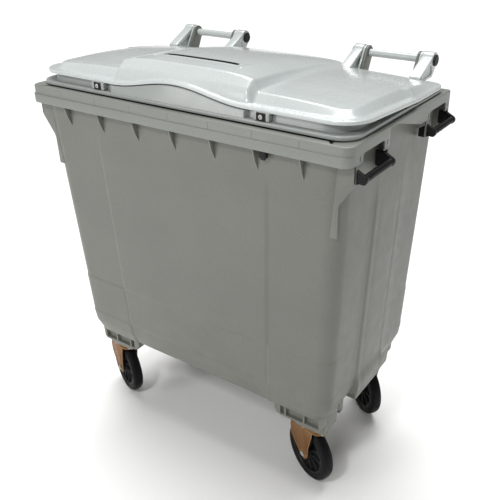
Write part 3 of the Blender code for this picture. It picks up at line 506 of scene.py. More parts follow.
def tyre_rubber():
    nodes = Nodes("tyre_rubber")
    dusty = nodes.range(nodes.noise(38.0, 6.0, 0.7), 0.42, 0.72)
    colour = nodes.over((0.004, 0.004, 0.005), dusty, 0.3, (0.022, 0.021, 0.019))
    colour = nodes.over(colour, nodes.edges(), 0.2, (0.07, 0.067, 0.064))
    rough = nodes.range(dusty, 0.0, 1.0, 0.48, 0.8)
    nodes.bump((nodes.noise(160.0, 4.0, 0.7), 0.25, 0.0008), (nodes.noise(1400.0, 2.0, 0.5), 0.3, 0.0003))
    return nodes.finish(colour, rough, IOR=1.5, Specular_IOR_Level=0.14)


def buffer_rubber():
    nodes = Nodes("buffer_rubber")
    mottle = nodes.range(nodes.noise(120.0), 0.3, 0.7)
    colour = nodes.mix(mottle, (0.012, 0.012, 0.012), (0.03, 0.029, 0.028))
    rough = nodes.range(nodes.noise(200.0), 0.3, 0.7, 0.6, 0.85)
    nodes.bump((nodes.noise(1200.0), 0.4, 0.0004))
    return nodes.finish(colour, rough)


def chromated_steel():
    """Zinc passivated yellow: copper-brown metal with darker and paler patches and fine drawing lines."""
    nodes = Nodes("chromated_steel")
    patches = nodes.range(nodes.noise(26.0, 5.0, 0.65, distortion=0.8), 0.3, 0.7)
    colour = nodes.mix(patches, (0.085, 0.02, 0.002), (0.15, 0.042, 0.006))
    stain = nodes.range(nodes.noise(75.0, 6.0, 0.7), 0.56, 0.72)
    colour = nodes.over(colour, stain, 0.7, (0.04, 0.015, 0.007))
    colour = nodes.over(colour, nodes.edges(0.51, 0.57), 0.8, (0.34, 0.21, 0.1))
    rough = nodes.range(nodes.noise(90.0, 5.0, 0.7), 0.3, 0.7, 0.34, 0.62)
    drawing_lines = nodes.noise(60.0, 2.0, 0.5, (30.0, 1.0, 1.0))
    nodes.bump((nodes.noise(240.0, 4.0, 0.6), 0.2, 0.0006), (drawing_lines, 0.06, 0.0004))
    return nodes.finish(colour, rough, Metallic=0.3, Specular_IOR_Level=0.08)


def plated_steel():
    nodes = Nodes("plated_steel")
    mottle = nodes.range(nodes.noise(90.0, 5.0, 0.7), 0.3, 0.7)
    colour = nodes.mix(mottle, (0.34, 0.335, 0.32), (0.56, 0.555, 0.54))
    rust = nodes.range(nodes.noise(150.0, 6.0, 0.75), 0.62, 0.74)
    colour = nodes.over(colour, rust, 0.5, (0.2, 0.1, 0.05))
    rough = nodes.range(nodes.noise(260.0, 3.0, 0.6), 0.3, 0.7, 0.24, 0.46)
    nodes.bump((nodes.noise(500.0, 3.0, 0.6), 0.15, 0.0004))
    return nodes.finish(colour, rough, Metallic=0.95)


# Each look is a material and its slot.
BODY = (polyethylene("body_polyethylene", (0.122, 0.125, 0.109), (0.134, 0.137, 0.119), (0.22, 0.23, 0.21),
                     roughness=0.42, flecks=0.2, grain=0.25, dust=0.3), "body_hdpe")
# Painted light: the rim is the body's plastic in a lighter copy, for the light that falls on its front.
LIT_RIM = (polyethylene("rim_polyethylene_painted_light", (0.172, 0.181, 0.162), (0.186, 0.195, 0.175), (0.29, 0.3, 0.28),
                    roughness=0.38, flecks=0.2, grain=0.25, dust=0.1), "body_hdpe")
LID = (polyethylene("lid_polyethylene", (0.465, 0.5, 0.492), (0.495, 0.53, 0.522), (0.6, 0.63, 0.62),
                    roughness=0.27, flecks=0.02, grain=0.006, coat=0.6, wear=0.05, wave=0.03), "lid_hdpe")
# Painted shade: the main lid's frame and the lock seats are the lid's plastic in a darker copy, for the
# shade under the paper lid's lip.
SHADED_LID = (polyethylene("main_lid_polyethylene_painted_shade", (0.255, 0.272, 0.262), (0.28, 0.298, 0.288),
                      (0.44, 0.46, 0.45), roughness=0.3, flecks=0.04, grain=0.03, coat=0.2), "lid_hdpe")
BLACK = (black_plastic(), "black_plastic")
SLOT_SHADE = (BLACK[0], "lid_hdpe")       # a black sheet as painted shade in the slot, counted as part of the lid
TYRE = (tyre_rubber(), "tyre")
BUFFER = (buffer_rubber(), "rubber")
CHROMATE = (chromated_steel(), "chromated_steel")
STEEL = (plated_steel(), "steel")


# ---------------------------------------------------------------- tub
def front_panel(x, z):
    """How far the front and rear faces stand out inside their two creases."""
    crease = between(CREASE_X, z)[0]
    return PANEL_OUT * (1 - smooth(abs(x), crease - FOLD, crease + FOLD)) * (1 - smooth(z, 1.1, 1.19))


def end_panel(y, z):
    """How far the end panel stands out. It carries straight on where the wall tapers in."""
    out = 0.004 * (1 - smooth(z, 1.05, 1.19)) + 0.022 * (1 - smooth(z, TUB_BASE, 0.44))
    groove = 0.0012 * (1 - smooth(abs(abs(y) - END_GROOVE_Y), 0.0, 0.005)) * (1 - smooth(z, 1.02, 1.1))
    return out * (1 - smooth(abs(y), END_PANEL_Y - FOLD, END_PANEL_Y + FOLD)) - groove


def lower_band(y, z):
    """The belt below the waist line is set in a little on the front, the rear and the corners."""
    around = smooth(abs(y), 0.21, 0.27)
    return -0.0022 * around * ((1 - smooth(z, 0.594, 0.603)) + 0.8 * (1 - smooth(z, 0.438, 0.446)))


def wall_ring(z, inset=0.0):
    half_x, half_y = between(TUB_SECTIONS, z)
    crease = between(CREASE_X, z)[0]
    inner = spaced(-crease + 0.012, crease - 0.012, 15)
    folds = (-FOLD, -0.002, 0.002, FOLD)
    fold = [crease + d for d in folds]
    outer = spaced(crease + 0.014, half_x - TUB_R - 0.004, 5)
    front_xs = [-x for x in (fold + outer)[::-1]] + inner + fold + outer
    half_ys = [0.03] + [END_GROOVE_Y + d for d in (-FOLD, 0, FOLD)]
    half_ys += [END_PANEL_Y + d for d in folds] + [0.15, 0.19, 0.215]
    end_ys = [-y for y in half_ys[::-1]] + [0.0] + half_ys
    ring = []
    radius = TUB_R - inset
    for x, y in plan_path(half_x - inset, half_y - inset, half_y - inset, radius, radius, front_xs, end_ys):
        band = lower_band(y, z)
        if abs(x) < half_x - TUB_R:
            y += math.copysign(front_panel(x, z) + band, y)
        elif abs(y) < half_y - TUB_R:
            x += math.copysign(end_panel(y, z) + band, x)
        else:
            x += math.copysign(band * 0.7, x)
            y += math.copysign(band * 0.7, y)
        ring.append((x, y, z))
    return ring


def tub_wall():
    special = [0.354, 0.362, 0.372, 0.384, 0.395, 0.41, 0.425, 0.436, 0.44, 0.444, 0.45]
    special += [0.59, 0.594, 0.597, 0.6, 0.603, 0.608]
    levels = sorted(set(special + spaced(0.47, 0.58, 6) + spaced(0.62, 1.08, 20) + spaced(1.09, 1.308, 16)))
    rings = []
    for turn in [math.radians(angle) for angle in (0, 22, 45, 68)]:
        height = TUB_BASE + TUB_FILLET * (1 - math.cos(turn))
        rings.append(wall_ring(height, TUB_FILLET * (1 - math.sin(turn))))
    rings += [wall_ring(z) for z in levels]
    return thickened(loft_mesh(rings, cap_first=True), WALL)


def rim_ring(z, half_x, half_y, r_front, r_rear, front_out=0.0):
    front_xs = spaced(-0.54, 0.54, 19)
    end_ys = spaced(-0.26, 0.26, 9)
    path = plan_path(half_x, half_y, half_y, r_front, r_rear, front_xs, end_ys)
    return [(x, y - front_out if y < -half_y + 0.02 else y, z) for x, y in path]


def tub_rim():
    """The folded-over rim: a flat top, a ledge, a proud lower band at the front and a hollow underside."""
    mouth = MOUTH_X - RIM_X
    sections = [(RIM_FOOT, mouth, 0), (RIM_TOP - 0.003, mouth, 0), (RIM_TOP - 0.001, mouth + 0.001, 0),
                (RIM_TOP, mouth + 0.003, 0)]
    for turn in [math.radians(angle) for angle in spaced(90, 0, 5)]:
        height = RIM_TOP - RIM_EDGE + RIM_EDGE * math.sin(turn)
        sections.append((height, -RIM_EDGE + RIM_EDGE * math.cos(turn), RIM_BACK))
    sections += [(RIM_LEDGE + 0.0018, 0, RIM_BACK), (RIM_LEDGE + 0.0004, 0, RIM_BACK + 0.0006),
                 (RIM_LEDGE, 0, 0.0018), (RIM_LEDGE - 0.0008, 0, 0.0027), (RIM_LEDGE - 0.002, 0, RIM_PROUD),
                 (RIM_BASE + 0.001, 0, RIM_PROUD), (RIM_BASE, -0.001, RIM_PROUD),
                 (RIM_BASE, 0.001 - RIM_SKIN, RIM_PROUD), (RIM_BASE + 0.001, -RIM_SKIN, RIM_PROUD),
                 (RIM_TOP - 0.006, -RIM_SKIN, 0), (RIM_TOP - 0.006, RIM_HOLLOW, 0),
                 (RIM_FOOT, RIM_HOLLOW, 0)]
    rings = []
    for z, offset, front_out in sections:
        part = min(max(-offset / (RIM_X - MOUTH_X), 0), 1)
        radii = [max(radius + (TUB_R - radius) * part + min(offset, 0) * (1 - part), 0.004)
                 for radius in RIM_RADII]
        half_y = RIM_Y + offset * (RIM_Y - MOUTH_Y) / (RIM_X - MOUTH_X)
        rings.append(rim_ring(z, RIM_X + offset, half_y, *radii, front_out))
    rim = loft_mesh(rings, join_last=True)
    cuts = []
    for side in (-1, 1):
        span = side * (RIM_X - 0.014), side * (RIM_X + 0.012)
        for y0, y1 in HANDLE_WINDOWS:
            opening = [(y0, 1.24), (y1, 1.24)] + arc((y1 - WINDOW_R, WINDOW_Z), WINDOW_R, 0, 90, 4)
            opening += arc((y0 + WINDOW_R, WINDOW_Z), WINDOW_R, 90, 180, 4)
            cuts.append(plate_mesh(opening, "X", *span))
        cuts.append(plate_mesh(END_NOTCH, "X", *span))
        for y in RIM_SLITS:
            slit = [(y - 0.002, 1.269), (y + 0.002, 1.269), (y + 0.002, 1.283), (y - 0.002, 1.283)]
            cuts.append(plate_mesh(slit, "X", *span))
    rim = carved(rim, joined(*cuts))
    return bevelled(rim, 0.0008, 2, 50)


def wall_x(y, z):
    half_x, half_y = between(TUB_SECTIONS, z)
    into_corner = abs(y) - (half_y - TUB_R)
    if into_corner <= 0:
        return half_x
    return half_x - TUB_R + math.sqrt(max(TUB_R**2 - into_corner**2, 0))


def tub_ribs():
    """Gussets under the rim, and the webs, wings and flanged legs that carry the handles."""
    plates = []
    top = RIM_TOP - 0.005
    for side in (-1, 1):
        for i in range(-3, 4):
            x = i * GUSSET_PITCH
            if side > 0 and abs(abs(x) - 0.3) < 0.01:
                x = math.copysign(0.375, x)
            wall = [(side * (between(TUB_SECTIONS, z)[1] + front_panel(x, z) - 0.003), z)
                    for z in (top, 1.25, GUSSET_TIP)]
            outer = RIM_Y - (0.002 if side < 0 else 0.003)
            rim_side = [(outer - 0.01, 1.226), (outer, RIM_BASE + 0.001), (outer, top)]
            outline = wall + [(side * y, z) for y, z in rim_side]
            plates.append(plate_mesh(outline, "X", x - RIB_HALF, x + RIB_HALF))
    outer = RIM_X - 0.0005
    inside = outer - 0.0045
    wing = [(outer, top), (outer, 1.216), (0.598, 1.208), (0.556, 1.146), (0.553, 1.135), (0.5525, 1.043)]
    web = [(outer, top), (outer, 1.205), (0.586, 1.18)]
    stub = [(outer, top), (outer, 1.25), (0.576, 1.236)]
    for side in (-1, 1):
        for y, profile in ((-0.3085, wing), (-0.1165, web), (0.153, stub), (0.336, web)):
            inner = [(wall_x(y, z) - 0.003, z) for _, z in profile]
            outline = [(side * x, z) for x, z in profile + inner[::-1]]
            plates.append(plate_mesh(outline, "Y", y - RIB_HALF, y + RIB_HALF))
        for y0, y1, leg in FLANGES:
            plates.append(box_mesh((side * inside, y0, 1.2545), (side * outer, y1, RIM_BASE + 0.006)))
            plates.append(box_mesh((side * inside, leg, 1.212), (side * outer, leg + FLANGE_LEG, 1.256)))
    return joined(*[bevelled(plate, 0.001, 2) for plate in plates])


def hinge_barrel(radius, steps=20):
    return arc((HINGE_Y, HINGE_Z), radius, 150, -20, steps)


def hinge_posts():
    outline = [(0.3385, RIM_BASE + 0.002), (0.3385, RIM_TOP - 0.004), (0.324, RIM_TOP - 0.002)]
    outline.append((0.324, 1.345))
    outline += hinge_barrel(0.024) + [(0.38, 1.345), (0.356, 1.3), (0.346, 1.264)]
    return joined(*plates_both_sides(outline, POSTS))


def castor_pads():
    """Pads behind the castor plates' skirts, the end feet and the drain's boss."""
    block = ((0.372, 0.352), (0.376, 0.275), (0.39, PAD_BASE), (0.5, PAD_BASE), (0.504, 0.3),
             (0.506, 0.352))
    skirt = ((0.316, 0.354), (0.318, 0.316), (0.326, 0.3), (0.345, SKIRT_BASE), (0.496, SKIRT_BASE),
             (0.504, 0.302), (0.507, 0.354))
    foot = ((0.44, 0.35), (0.44, 0.318), (0.534, 0.315), (0.5355, 0.352), (0.5, 0.356))
    pads = []
    for side in (-1, 1):
        for end in (-1, 1):
            pad = plate_mesh([(side * x, z) for x, z in block], "Y", end * 0.246, end * 0.16)
            front = plate_mesh([(side * x, z) for x, z in skirt], "Y", end * SKIRT_Y, end * 0.24)
            inside, outside = end * (SKIRT_Y - 0.014), end * (SKIRT_Y + 0.01)
            pockets = [box_mesh((side * x0, inside, 0.301), (side * x1, outside, 0.334))
                       for x0, x1 in POCKETS]
            pads.append(bevelled(pad, 0.0015, 2, 40))
            pads.append(bevelled(carved(front, joined(*pockets)), 0.0015, 2, 40))
    for side in (-1, 1):
        outline = [(side * x, z) for x, z in foot]
        pads.append(bevelled(plate_mesh(outline, "Y", -0.088, 0.088), 0.003, 3))
    profile = [(0.026, 0.06), (0.026, 0.002), (0.0245, 0), (0.0195, 0), (0.0182, 0.002), (0.0182, 0.06)]
    boss = lathe_mesh(profile, (0.478, -0.125, 0.285), (0.478, -0.125, 0.385), 40)
    return joined(*pads, boss)


def make_tub():
    piece("tub_wall", tub_wall(), "bin_body", BODY, "tub")
    piece("tub_rim", tub_rim(), "bin_body", LIT_RIM, sharp=40)
    piece("tub_ribs", tub_ribs(), "bin_body", BODY)
    piece("tub_hinge_posts", hinge_posts(), "bin_body", BODY)
    piece("tub_castor_pads", castor_pads(), "bin_body", BODY)


# ---------------------------------------------------------------- lids
def rounded_profile(table, value, width):
    """Straight-line interpolation whose corners are rounded over a width."""
    return sum(between(table, value + width * part)[0] for part in spaced(-0.5, 0.5, 7)) / 7


def lip_top(x, y):
    z = LIP_Z - LIP_FALL * max(y - LIP_FALL_FROM, 0)
    z += (LIP_REAR_Z - z) * smooth(y, STEP_LOW, STEP_HIGH)
    if y < -0.2 and abs(x) < ARCH_X:
        z += ARCH_RISE * math.cos(math.pi * x / (2 * ARCH_X)) ** 2
    return z


def bulge_top(x, y):
    along = (y - CROWN_Y) / (CROWN_FRONT if y < CROWN_Y else CROWN_REAR)
    crown = CROWN_RISE * (1 - along**2) * (1 - (x / CROWN_X) ** 4)
    return BULGE_TOP - BULGE_SLOPE * y - BULGE_BEND * y * y + max(crown, 0)


def paper_lid_z(x, y, inset):
    """Height of the paper lid's outer face, where inset is the distance in from its edge."""
    edge = lip_top(x, y)
    bead = 0.0012 * (1 - smooth(abs(inset - 0.006), 0.002, 0.005))
    rounding = LIP_ROUND - math.sqrt(LIP_ROUND**2 - (LIP_ROUND - min(inset, LIP_ROUND)) ** 2)
    dome = DOME_TOP - DOME_SLOPE * max(y + 0.1, 0) - DOME_BEND * max(y + 0.05, 0) ** 2
    dome += DOME_CROWN * max(1 - (max(abs(x) - 0.25, 0) / 0.28) ** 2, 0)
    foot = 0.004 + 0.023 * (1 - smooth(y, STEP_LOW - 0.008, STEP_HIGH - 0.004))
    side = rounded_profile(((foot, edge), (foot + 0.024, dome - 0.002), (foot + 0.06, dome), (1, dome)),
                           inset, 0.006)
    front = y + UPPER_LID_Y
    if front < 0.1:
        face = bulge_top(x, SHOULDER_INSET - UPPER_LID_Y)
        low = min(1.409 - 0.0083 * (x / 0.2275) ** 2, face)
        behind = bulge_top(x, 0.2 - UPPER_LID_Y)
        middle = rounded_profile(((0.011, edge), (FACE_INSET, low), (SHOULDER_INSET, face), (0.2, behind)),
                                 front, 0.008)
        middle += (bulge_top(x, y) - middle) * smooth(front, SHOULDER_INSET + 0.004, SHOULDER_INSET + 0.03)
    else:
        middle = edge + (bulge_top(x, y) - edge) * smooth(inset, 0.006, 0.05)
    top_x = BULGE_FRONT_X - BULGE_TAPER * (y + 0.25)
    share = rounded_profile(((top_x, 1.0), (BULGE_FOOT_X, 0.0)), abs(x), 0.007)
    ridge = 1 - smooth(abs(abs(x) - RIDGE_X), 0.0015, 0.0045)
    ridge *= 1 - smooth(abs(y - SLOT_Y), 0.02, 0.026)
    over = math.hypot(max(abs(x) - SLOT_X, 0), max(abs(y - SLOT_Y) - SLOT_WIDTH / 2, 0))
    raised = 0.0008 * (1 - smooth(over, 0.004, 0.008)) + RIDGE_RISE * ridge
    bead *= 1 - share * smooth(inset, 0.008, 0.02)
    return side + (middle - side) * share + bead - rounding + raised * share


def round_corner(x, y, half_x, low_y, high_y):
    """Moves a grid point of a square corner onto a round one. Returns x, y and the inset from the edge."""
    middle_y, half_y = (low_y + high_y) / 2, (high_y - low_y) / 2
    radius = UPPER_LID_R if y < middle_y else UPPER_LID_R_REAR
    a = abs(x) - (half_x - radius)
    b = abs(y - middle_y) - (half_y - radius)
    inset = min(half_x - abs(x), half_y - abs(y - middle_y))
    if a > 0 and b > 0:
        reach = max(a, b)
        angle = math.pi / 4 * (b / a) if a >= b else math.pi / 2 - math.pi / 4 * (a / b)
        x = math.copysign(half_x - radius + reach * math.cos(angle), x)
        y = middle_y + math.copysign(half_y - radius + reach * math.sin(angle), y - middle_y)
    return x, y, inset


def upper_lid_mesh():
    ridge = [RIDGE_X + d for d in (-0.0045, -0.003, -0.0015, 0.0015, 0.003, 0.0045)]
    half = spaced(0.0, 0.15, 11) + ridge + [0.175, 0.19, 0.205, 0.216] + spaced(0.224, 0.268, 16)
    right = half + spaced(0.28, 0.485, 12) + [UPPER_LID_X - d for d in EDGE_INSETS[::-1]]
    columns = [-x for x in right[:0:-1]] + right
    near_slot = (0.0105, 0.0125, 0.014, 0.0155, 0.0175, 0.02, 0.023, 0.026)
    slot_rows = [SLOT_Y - d for d in near_slot[::-1]] + [SLOT_Y + d for d in near_slot]
    middle = slot_rows + spaced(-0.14, 0.03, 11) + spaced(0.036, 0.112, 16) + spaced(0.125, 0.212, 7)
    rows = [-UPPER_LID_Y + d for d in EDGE_INSETS] + middle + [LID_REAR - d for d in EDGE_INSETS[::-1]]

    def build(bm):
        grid = []
        for y0 in rows:
            line = []
            for x0 in columns:
                x, y, inset = round_corner(x0, y0, UPPER_LID_X, -UPPER_LID_Y, LID_REAR)
                z = paper_lid_z(x, y, inset)
                near_side = 1 - smooth(UPPER_LID_X - abs(x0), 0.026, 0.06)
                x -= math.copysign(0.008 * near_side * smooth(y, STEP_LOW, STEP_HIGH), x)
                line.append(bm.verts.new((x, y, z)))
            grid.append(line)
        for lower, upper in zip(grid, grid[1:]):
            for i in range(len(columns) - 1):
                bm.faces.new((lower[i], lower[i + 1], upper[i + 1], upper[i]))
        edge = grid[0] + [line[-1] for line in grid[1:]]
        edge += grid[-1][-2::-1] + [line[0] for line in grid[-2:0:-1]]
        previous = edge
        for drop in (LIP_DEPTH - LIP_ROUND - 0.001, LIP_DEPTH - LIP_ROUND):
            lip = [bm.verts.new(v.co - Vector((0, 0, drop))) for v in edge]
            for i in range(len(edge)):
                j = (i + 1) % len(edge)
                bm.faces.new((previous[j], previous[i], lip[i], lip[j]))
            previous = lip

    lid = mesh_from(build, False)
    lid = thickened(lid, LID_WALL)
    ends = arc((SLOT_X - SLOT_WIDTH / 2, SLOT_Y), SLOT_WIDTH / 2, -90, 90, 8)
    ends += arc((-SLOT_X + SLOT_WIDTH / 2, SLOT_Y), SLOT_WIDTH / 2, 90, 270, 8)
    return carved(lid, plate_mesh(ends, "Z", 1.38, 1.48))


def upper_arm_meshes():
    """Hollow-sided wedge arms that reach from the paper lid's rear up to the hinge."""
    outline = [(0.3, 1.3415), (0.262, 1.351), (0.262, 1.36)] + hinge_barrel(BARREL_R) + [(0.366, 1.3415)]
    pocket = [(0.3, 1.35), (0.285, 1.36), (0.34, 1.386), (0.352, 1.38), (0.36, 1.36), (0.352, 1.35)]
    recess = 0.004
    arms = []
    for side in (-1, 1):
        for x0, x1 in UPPER_ARMS:
            arm = plate_mesh(outline, "X", side * x0, side * x1)
            low, high = sorted((side * x0, side * x1))
            cut = joined(plate_mesh(pocket, "X", low - 0.002, low + recess),
                         plate_mesh(pocket, "X", high - recess, high + 0.002))
            arms.append(bevelled(carved(arm, cut), 0.0018, 3, 40))
    return arms


def lower_lid_section(x, y):
    """Cross section of the main lid's frame at a point of its outline, as (inset, z) points."""
    rear = smooth(y, STEP_LOW - 0.01, STEP_HIGH)
    skirt_top = lip_top(x, y) - LIP_DEPTH - 0.0035
    bead = BEAD_TOP - 0.003 * rear
    pocket = 0.022 - 0.012 * rear
    if y < -0.2:
        pocket = 0.004 + (pocket - 0.004) * smooth(abs(x), ARCH_X + 0.002, ARCH_X + 0.01)
    skirt_low = min(bead + 0.0016, skirt_top - 0.0008)
    return (
        (0.0006, LOWER_LID_Z + 0.0004), (0.0, LOWER_LID_Z + 0.0014), (0.0, bead - 0.0026),
        (0.0008, bead - 0.0009), (0.0026, bead), (pocket - 0.0008, bead), (pocket, skirt_low),
        (pocket + 0.0008, skirt_top - 0.002), (pocket + 0.0016, skirt_top - 0.0006),
        (pocket + 0.0032, skirt_top),
        (0.059, skirt_top), (0.06, skirt_top - 0.001), (0.06, skirt_top - LID_WALL + 0.001),
        (0.059, skirt_top - LID_WALL), (pocket + 0.006, skirt_top - LID_WALL),
        (pocket + 0.0048, bead - 0.004), (0.0044, bead - 0.005), (0.0042, LOWER_LID_Z + 0.001),
        (0.0036, LOWER_LID_Z + 0.0004),
    )


def lower_lid_mesh():
    half = spaced(0.0, 0.225, 16) + [0.235, 0.245, 0.25, 0.252, 0.254, 0.256, 0.258, 0.26, 0.264, 0.272]
    half += spaced(0.3, 0.48, 7)
    front_xs = [-x for x in half[:0:-1]] + half
    end_ys = spaced(-0.2, 0.035, 7) + spaced(STEP_LOW - 0.012, STEP_HIGH + 0.004, 11)
    end_ys += spaced(0.125, 0.21, 4)

    def path_at(inset):
        gain = 0.034 * smooth(inset, 0.0028, 0.01) - inset
        return plan_path(LOWER_LID_X - inset, LOWER_LID_Y - inset, LID_REAR - inset,
                         LID_R + gain, LID_R_REAR + gain, front_xs, end_ys)

    sections = [lower_lid_section(x, y) for x, y in path_at(0.0)]
    rings = []
    for k in range(len(sections[0])):
        ring = []
        for i, section in enumerate(sections):
            inset, z = section[k]
            x, y = path_at(inset)[i]
            ring.append((x, y, z))
        rings.append(ring)
    return loft_mesh(rings, join_last=True)


def lower_arm_meshes():
    outline = [(0.29, LOWER_LID_Z + 0.004), (0.29, 1.328), (0.319, 1.3295), (0.3215, 1.35)]
    outline += hinge_barrel(0.024) + [(0.372, 1.345), (0.345, LOWER_LID_Z + 0.004)]
    return plates_both_sides(outline, LOWER_ARMS)


def lid_top(x0, y0):
    x, y, inset = round_corner(x0, y0, UPPER_LID_X, -UPPER_LID_Y, LID_REAR)
    return paper_lid_z(x, y, inset)


def make_lids():
    piece("paper_lid_shell", upper_lid_mesh(), "paper_lid", LID, "upper_lid", sharp=50)
    # The slot's dark opening is painted shade: a thin black sheet just behind the slot.
    shade_outline = [(x, lid_top(x, SLOT_SHADE_Y) - 0.0004) for x in spaced(-SLOT_SHADE_X, SLOT_SHADE_X, 21)]
    shade_outline += [(SLOT_SHADE_X, SLOT_SHADE_FOOT), (-SLOT_SHADE_X, SLOT_SHADE_FOOT)]
    piece("slot_shade_sheet", plate_mesh(shade_outline, "Y", SLOT_SHADE_Y, SLOT_SHADE_Y + SLOT_SHADE_THICK), "paper_lid", SLOT_SHADE)
    piece("paper_lid_arms", joined(*upper_arm_meshes()), "paper_lid", LID)
    piece("main_lid_frame", lower_lid_mesh(), "main_lid", SHADED_LID, "lower_lid", sharp=50)
    piece("main_lid_arms", joined(*lower_arm_meshes()), "main_lid", LID)
    for place in ("front_left", "front_right", "rear_left", "rear_right"):
        low, high, middle, radius = cad_box("lid_buffer_" + place)
        rod = rounded_rod(radius, (middle.x, middle.y, low.z), (middle.x, middle.y, high.z), 0.0016, 32)
        piece("buffer_" + place, rod, "main_lid", BUFFER, "lid_buffer_" + place, shift=False)


# ---------------------------------------------------------------- locks
def make_locks():
    for name in ("left", "right"):
        low, high, middle, _ = cad_box("lock_housing_" + name)

        def across(y):
            return (middle.x, y, middle.z)

        seat = box_mesh((low.x - LOCK_SEAT_X, low.y + LOCK_SEAT_BACK, low.z - LOCK_SEAT_Z),
                        (high.x + LOCK_SEAT_X, high.y, high.z + LOCK_SEAT_Z))
        seat = carved(bevelled(seat, 0.003, 4), box_mesh(low - CLEAR, high + CLEAR))
        piece("lock_seat_" + name, seat, "main_lid", SHADED_LID, shift=False)
        housing = bevelled(box_mesh(low, high), 0.0022, 3)
        bore = rounded_rod(0.007, across(low.y - 0.005), across(low.y + 0.0085), 0.0002)
        housing = carved(housing, bore)
        collar = lathe_mesh(LOCK_COLLAR, across(low.y), across(low.y + 1), 48)
        case = joined(housing, collar)
        piece("lock_case_" + name, case, "main_lid", BLACK, "lock_housing_" + name, shift=False)
        low, high, middle, _ = cad_box("lock_cylinder_" + name)
        core = rounded_rod(0.0066, across(low.y), across(high.y), 0.0008, 48)
        socket = [(middle.x + x, middle.z + z) for x, z in arc((0, 0), 0.004, 90, 330, 2)]
        core = carved(core, plate_mesh(socket, "Y", low.y - 0.002, low.y + 0.006))
        pin = rounded_rod(0.0012, across(low.y + 0.0008), across(low.y + 0.0065), 0.0003, 20)
        piece("lock_core_" + name, joined(core, pin), f"lock_cylinder_{name}_body", STEEL,
              "lock_cylinder_" + name, shift=False)


# ---------------------------------------------------------------- handles, hinge and small fittings
def make_handle(end, name, side):
    bar_x, bar_z = HANDLE_BAR
    y = HANDLE_Y[end]
    cheek = [(0.573, 1.25), (0.573, 1.208), (0.594, 1.208), (0.608, 1.214)]
    cheek += arc((bar_x, bar_z), 0.0128, -80, 60, 10) + [(0.598, 1.25)]
    outline = [(side * x, z) for x, z in cheek]
    cheeks = [bevelled(plate_mesh(outline, "Y", y0, y0 + CHEEK), 0.0015, 3)
              for y0 in (y - HANDLE_HALF, y + HANDLE_HALF - CHEEK)]
    inner = HANDLE_HALF - CHEEK
    profile = [(0, -inner - 0.004), (0.0112, -inner - 0.004), (0.0112, -inner + 0.004)]
    profile.append((0.01, -inner + 0.006))
    for i in range(GRIP_RIBS):
        middle = -inner + 0.009 + (2 * inner - 0.018) * (i + 0.5) / GRIP_RIBS
        profile += [(0.0096, middle - 0.0028), (0.0106, middle - 0.0014)]
        profile += [(0.0106, middle + 0.0014), (0.0096, middle + 0.0028)]
    profile += [(0.01, inner - 0.006), (0.0112, inner - 0.004), (0.0112, inner + 0.004), (0, inner + 0.004)]
    bar = lathe_mesh(profile, (side * bar_x, y, bar_z), (side * bar_x, y + 1, bar_z), 40)
    piece(f"handle_{end}_{name}", joined(*cheeks, bar), "bin_body", BLACK, f"side_handle_{end}_{name}")


def make_hinge(name, side):
    inner, outer = UPPER_ARMS[0][0], UPPER_ARMS[1][1]

    def at(x):
        return (side * x, HINGE_Y, HINGE_Z)

    rod = rounded_rod(ROD_R, at(inner - 0.004), at(outer + 0.004), 0.0008, 32)
    piece("rod_" + name, rod, "bin_body", STEEL, "hinge_rod_" + name)
    length = POSTS[1][0] - POSTS[0][1] - 0.0008
    profile = [(TUBE_BORE, 0), (TUBE_R - 0.0015, 0), (TUBE_R, 0.0015), (TUBE_R, length - 0.0015),
               (TUBE_R - 0.0015, length), (TUBE_BORE, length)]
    tube = lathe_mesh(profile, at(POSTS[0][1] + 0.0004), at(POSTS[1][0]), 48)
    piece("tube_" + name, tube, "bin_body", LID, "hinge_tube_" + name)
    for end, face, direction in (("inner", inner, -1), ("outer", outer, 1)):
        start = face + direction * 0.0005
        cap = lathe_mesh(HINGE_CAP, at(start), at(start + direction), 48)
        piece(f"cap_{name}_{end}", cap, "bin_body", BLACK, f"hinge_cap_{name}_{end}")


def make_fittings():
    low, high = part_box("lock_catch")
    block = bevelled(box_mesh((low.x, low.y, low.z + 0.006), high), 0.0018, 3)
    hook = box_mesh((low.x + 0.005, low.y + 0.003, low.z), (high.x - 0.005, high.y - 0.005, low.z + 0.01))
    catch = joined(block, bevelled(hook, 0.0012, 2))
    piece("catch_block", catch, "bin_body", BLACK, "lock_catch", shift=False)
    low, high, middle, radius = cad_box("drain_plug")
    base = low.z + 0.009
    top = high.z - base
    profile = [(0, 0), (radius - 0.002, 0), (radius, 0.002), (radius, 0.0077), (0.0176, 0.0077),
               (0.0176, top), (0, top)]
    flange = lathe_mesh(profile, (middle.x, middle.y, base), (middle.x, middle.y, base + 1), 48)
    grip = box_mesh((middle.x - 0.018, middle.y - 0.0035, low.z),
                    (middle.x + 0.018, middle.y + 0.0035, base + 0.002))
    plug = joined(flange, bevelled(grip, 0.0012, 2))
    piece("drain_cap", plug, "bin_body", BLACK, "drain_plug", shift=False)


# ---------------------------------------------------------------- castors
# Built with the kingpin at x = y = 0 and the trail along +X.
def on_axle(y):
    return (TRAIL, y, WHEEL_R)


def tyre_mesh():
    half = WHEEL_HALF
    profile = [(0.0843, half - 0.004), (0.087, half - 0.0006), (0.0885, half), (0.093, half),
               (0.0936, half - 0.001), (0.0946, half - 0.001), (0.0952, half), (0.099, half),
               (0.103, half - 0.0008), (0.1066, half - 0.0026), (0.1094, half - 0.006),
               (0.111, half - 0.0105), (WHEEL_R, half - 0.016), (WHEEL_R, 0)]
    mirrored = [(r, -y) for r, y in profile[-2::-1]]
    return lathe_mesh(profile + mirrored, on_axle(0), on_axle(1), 96)


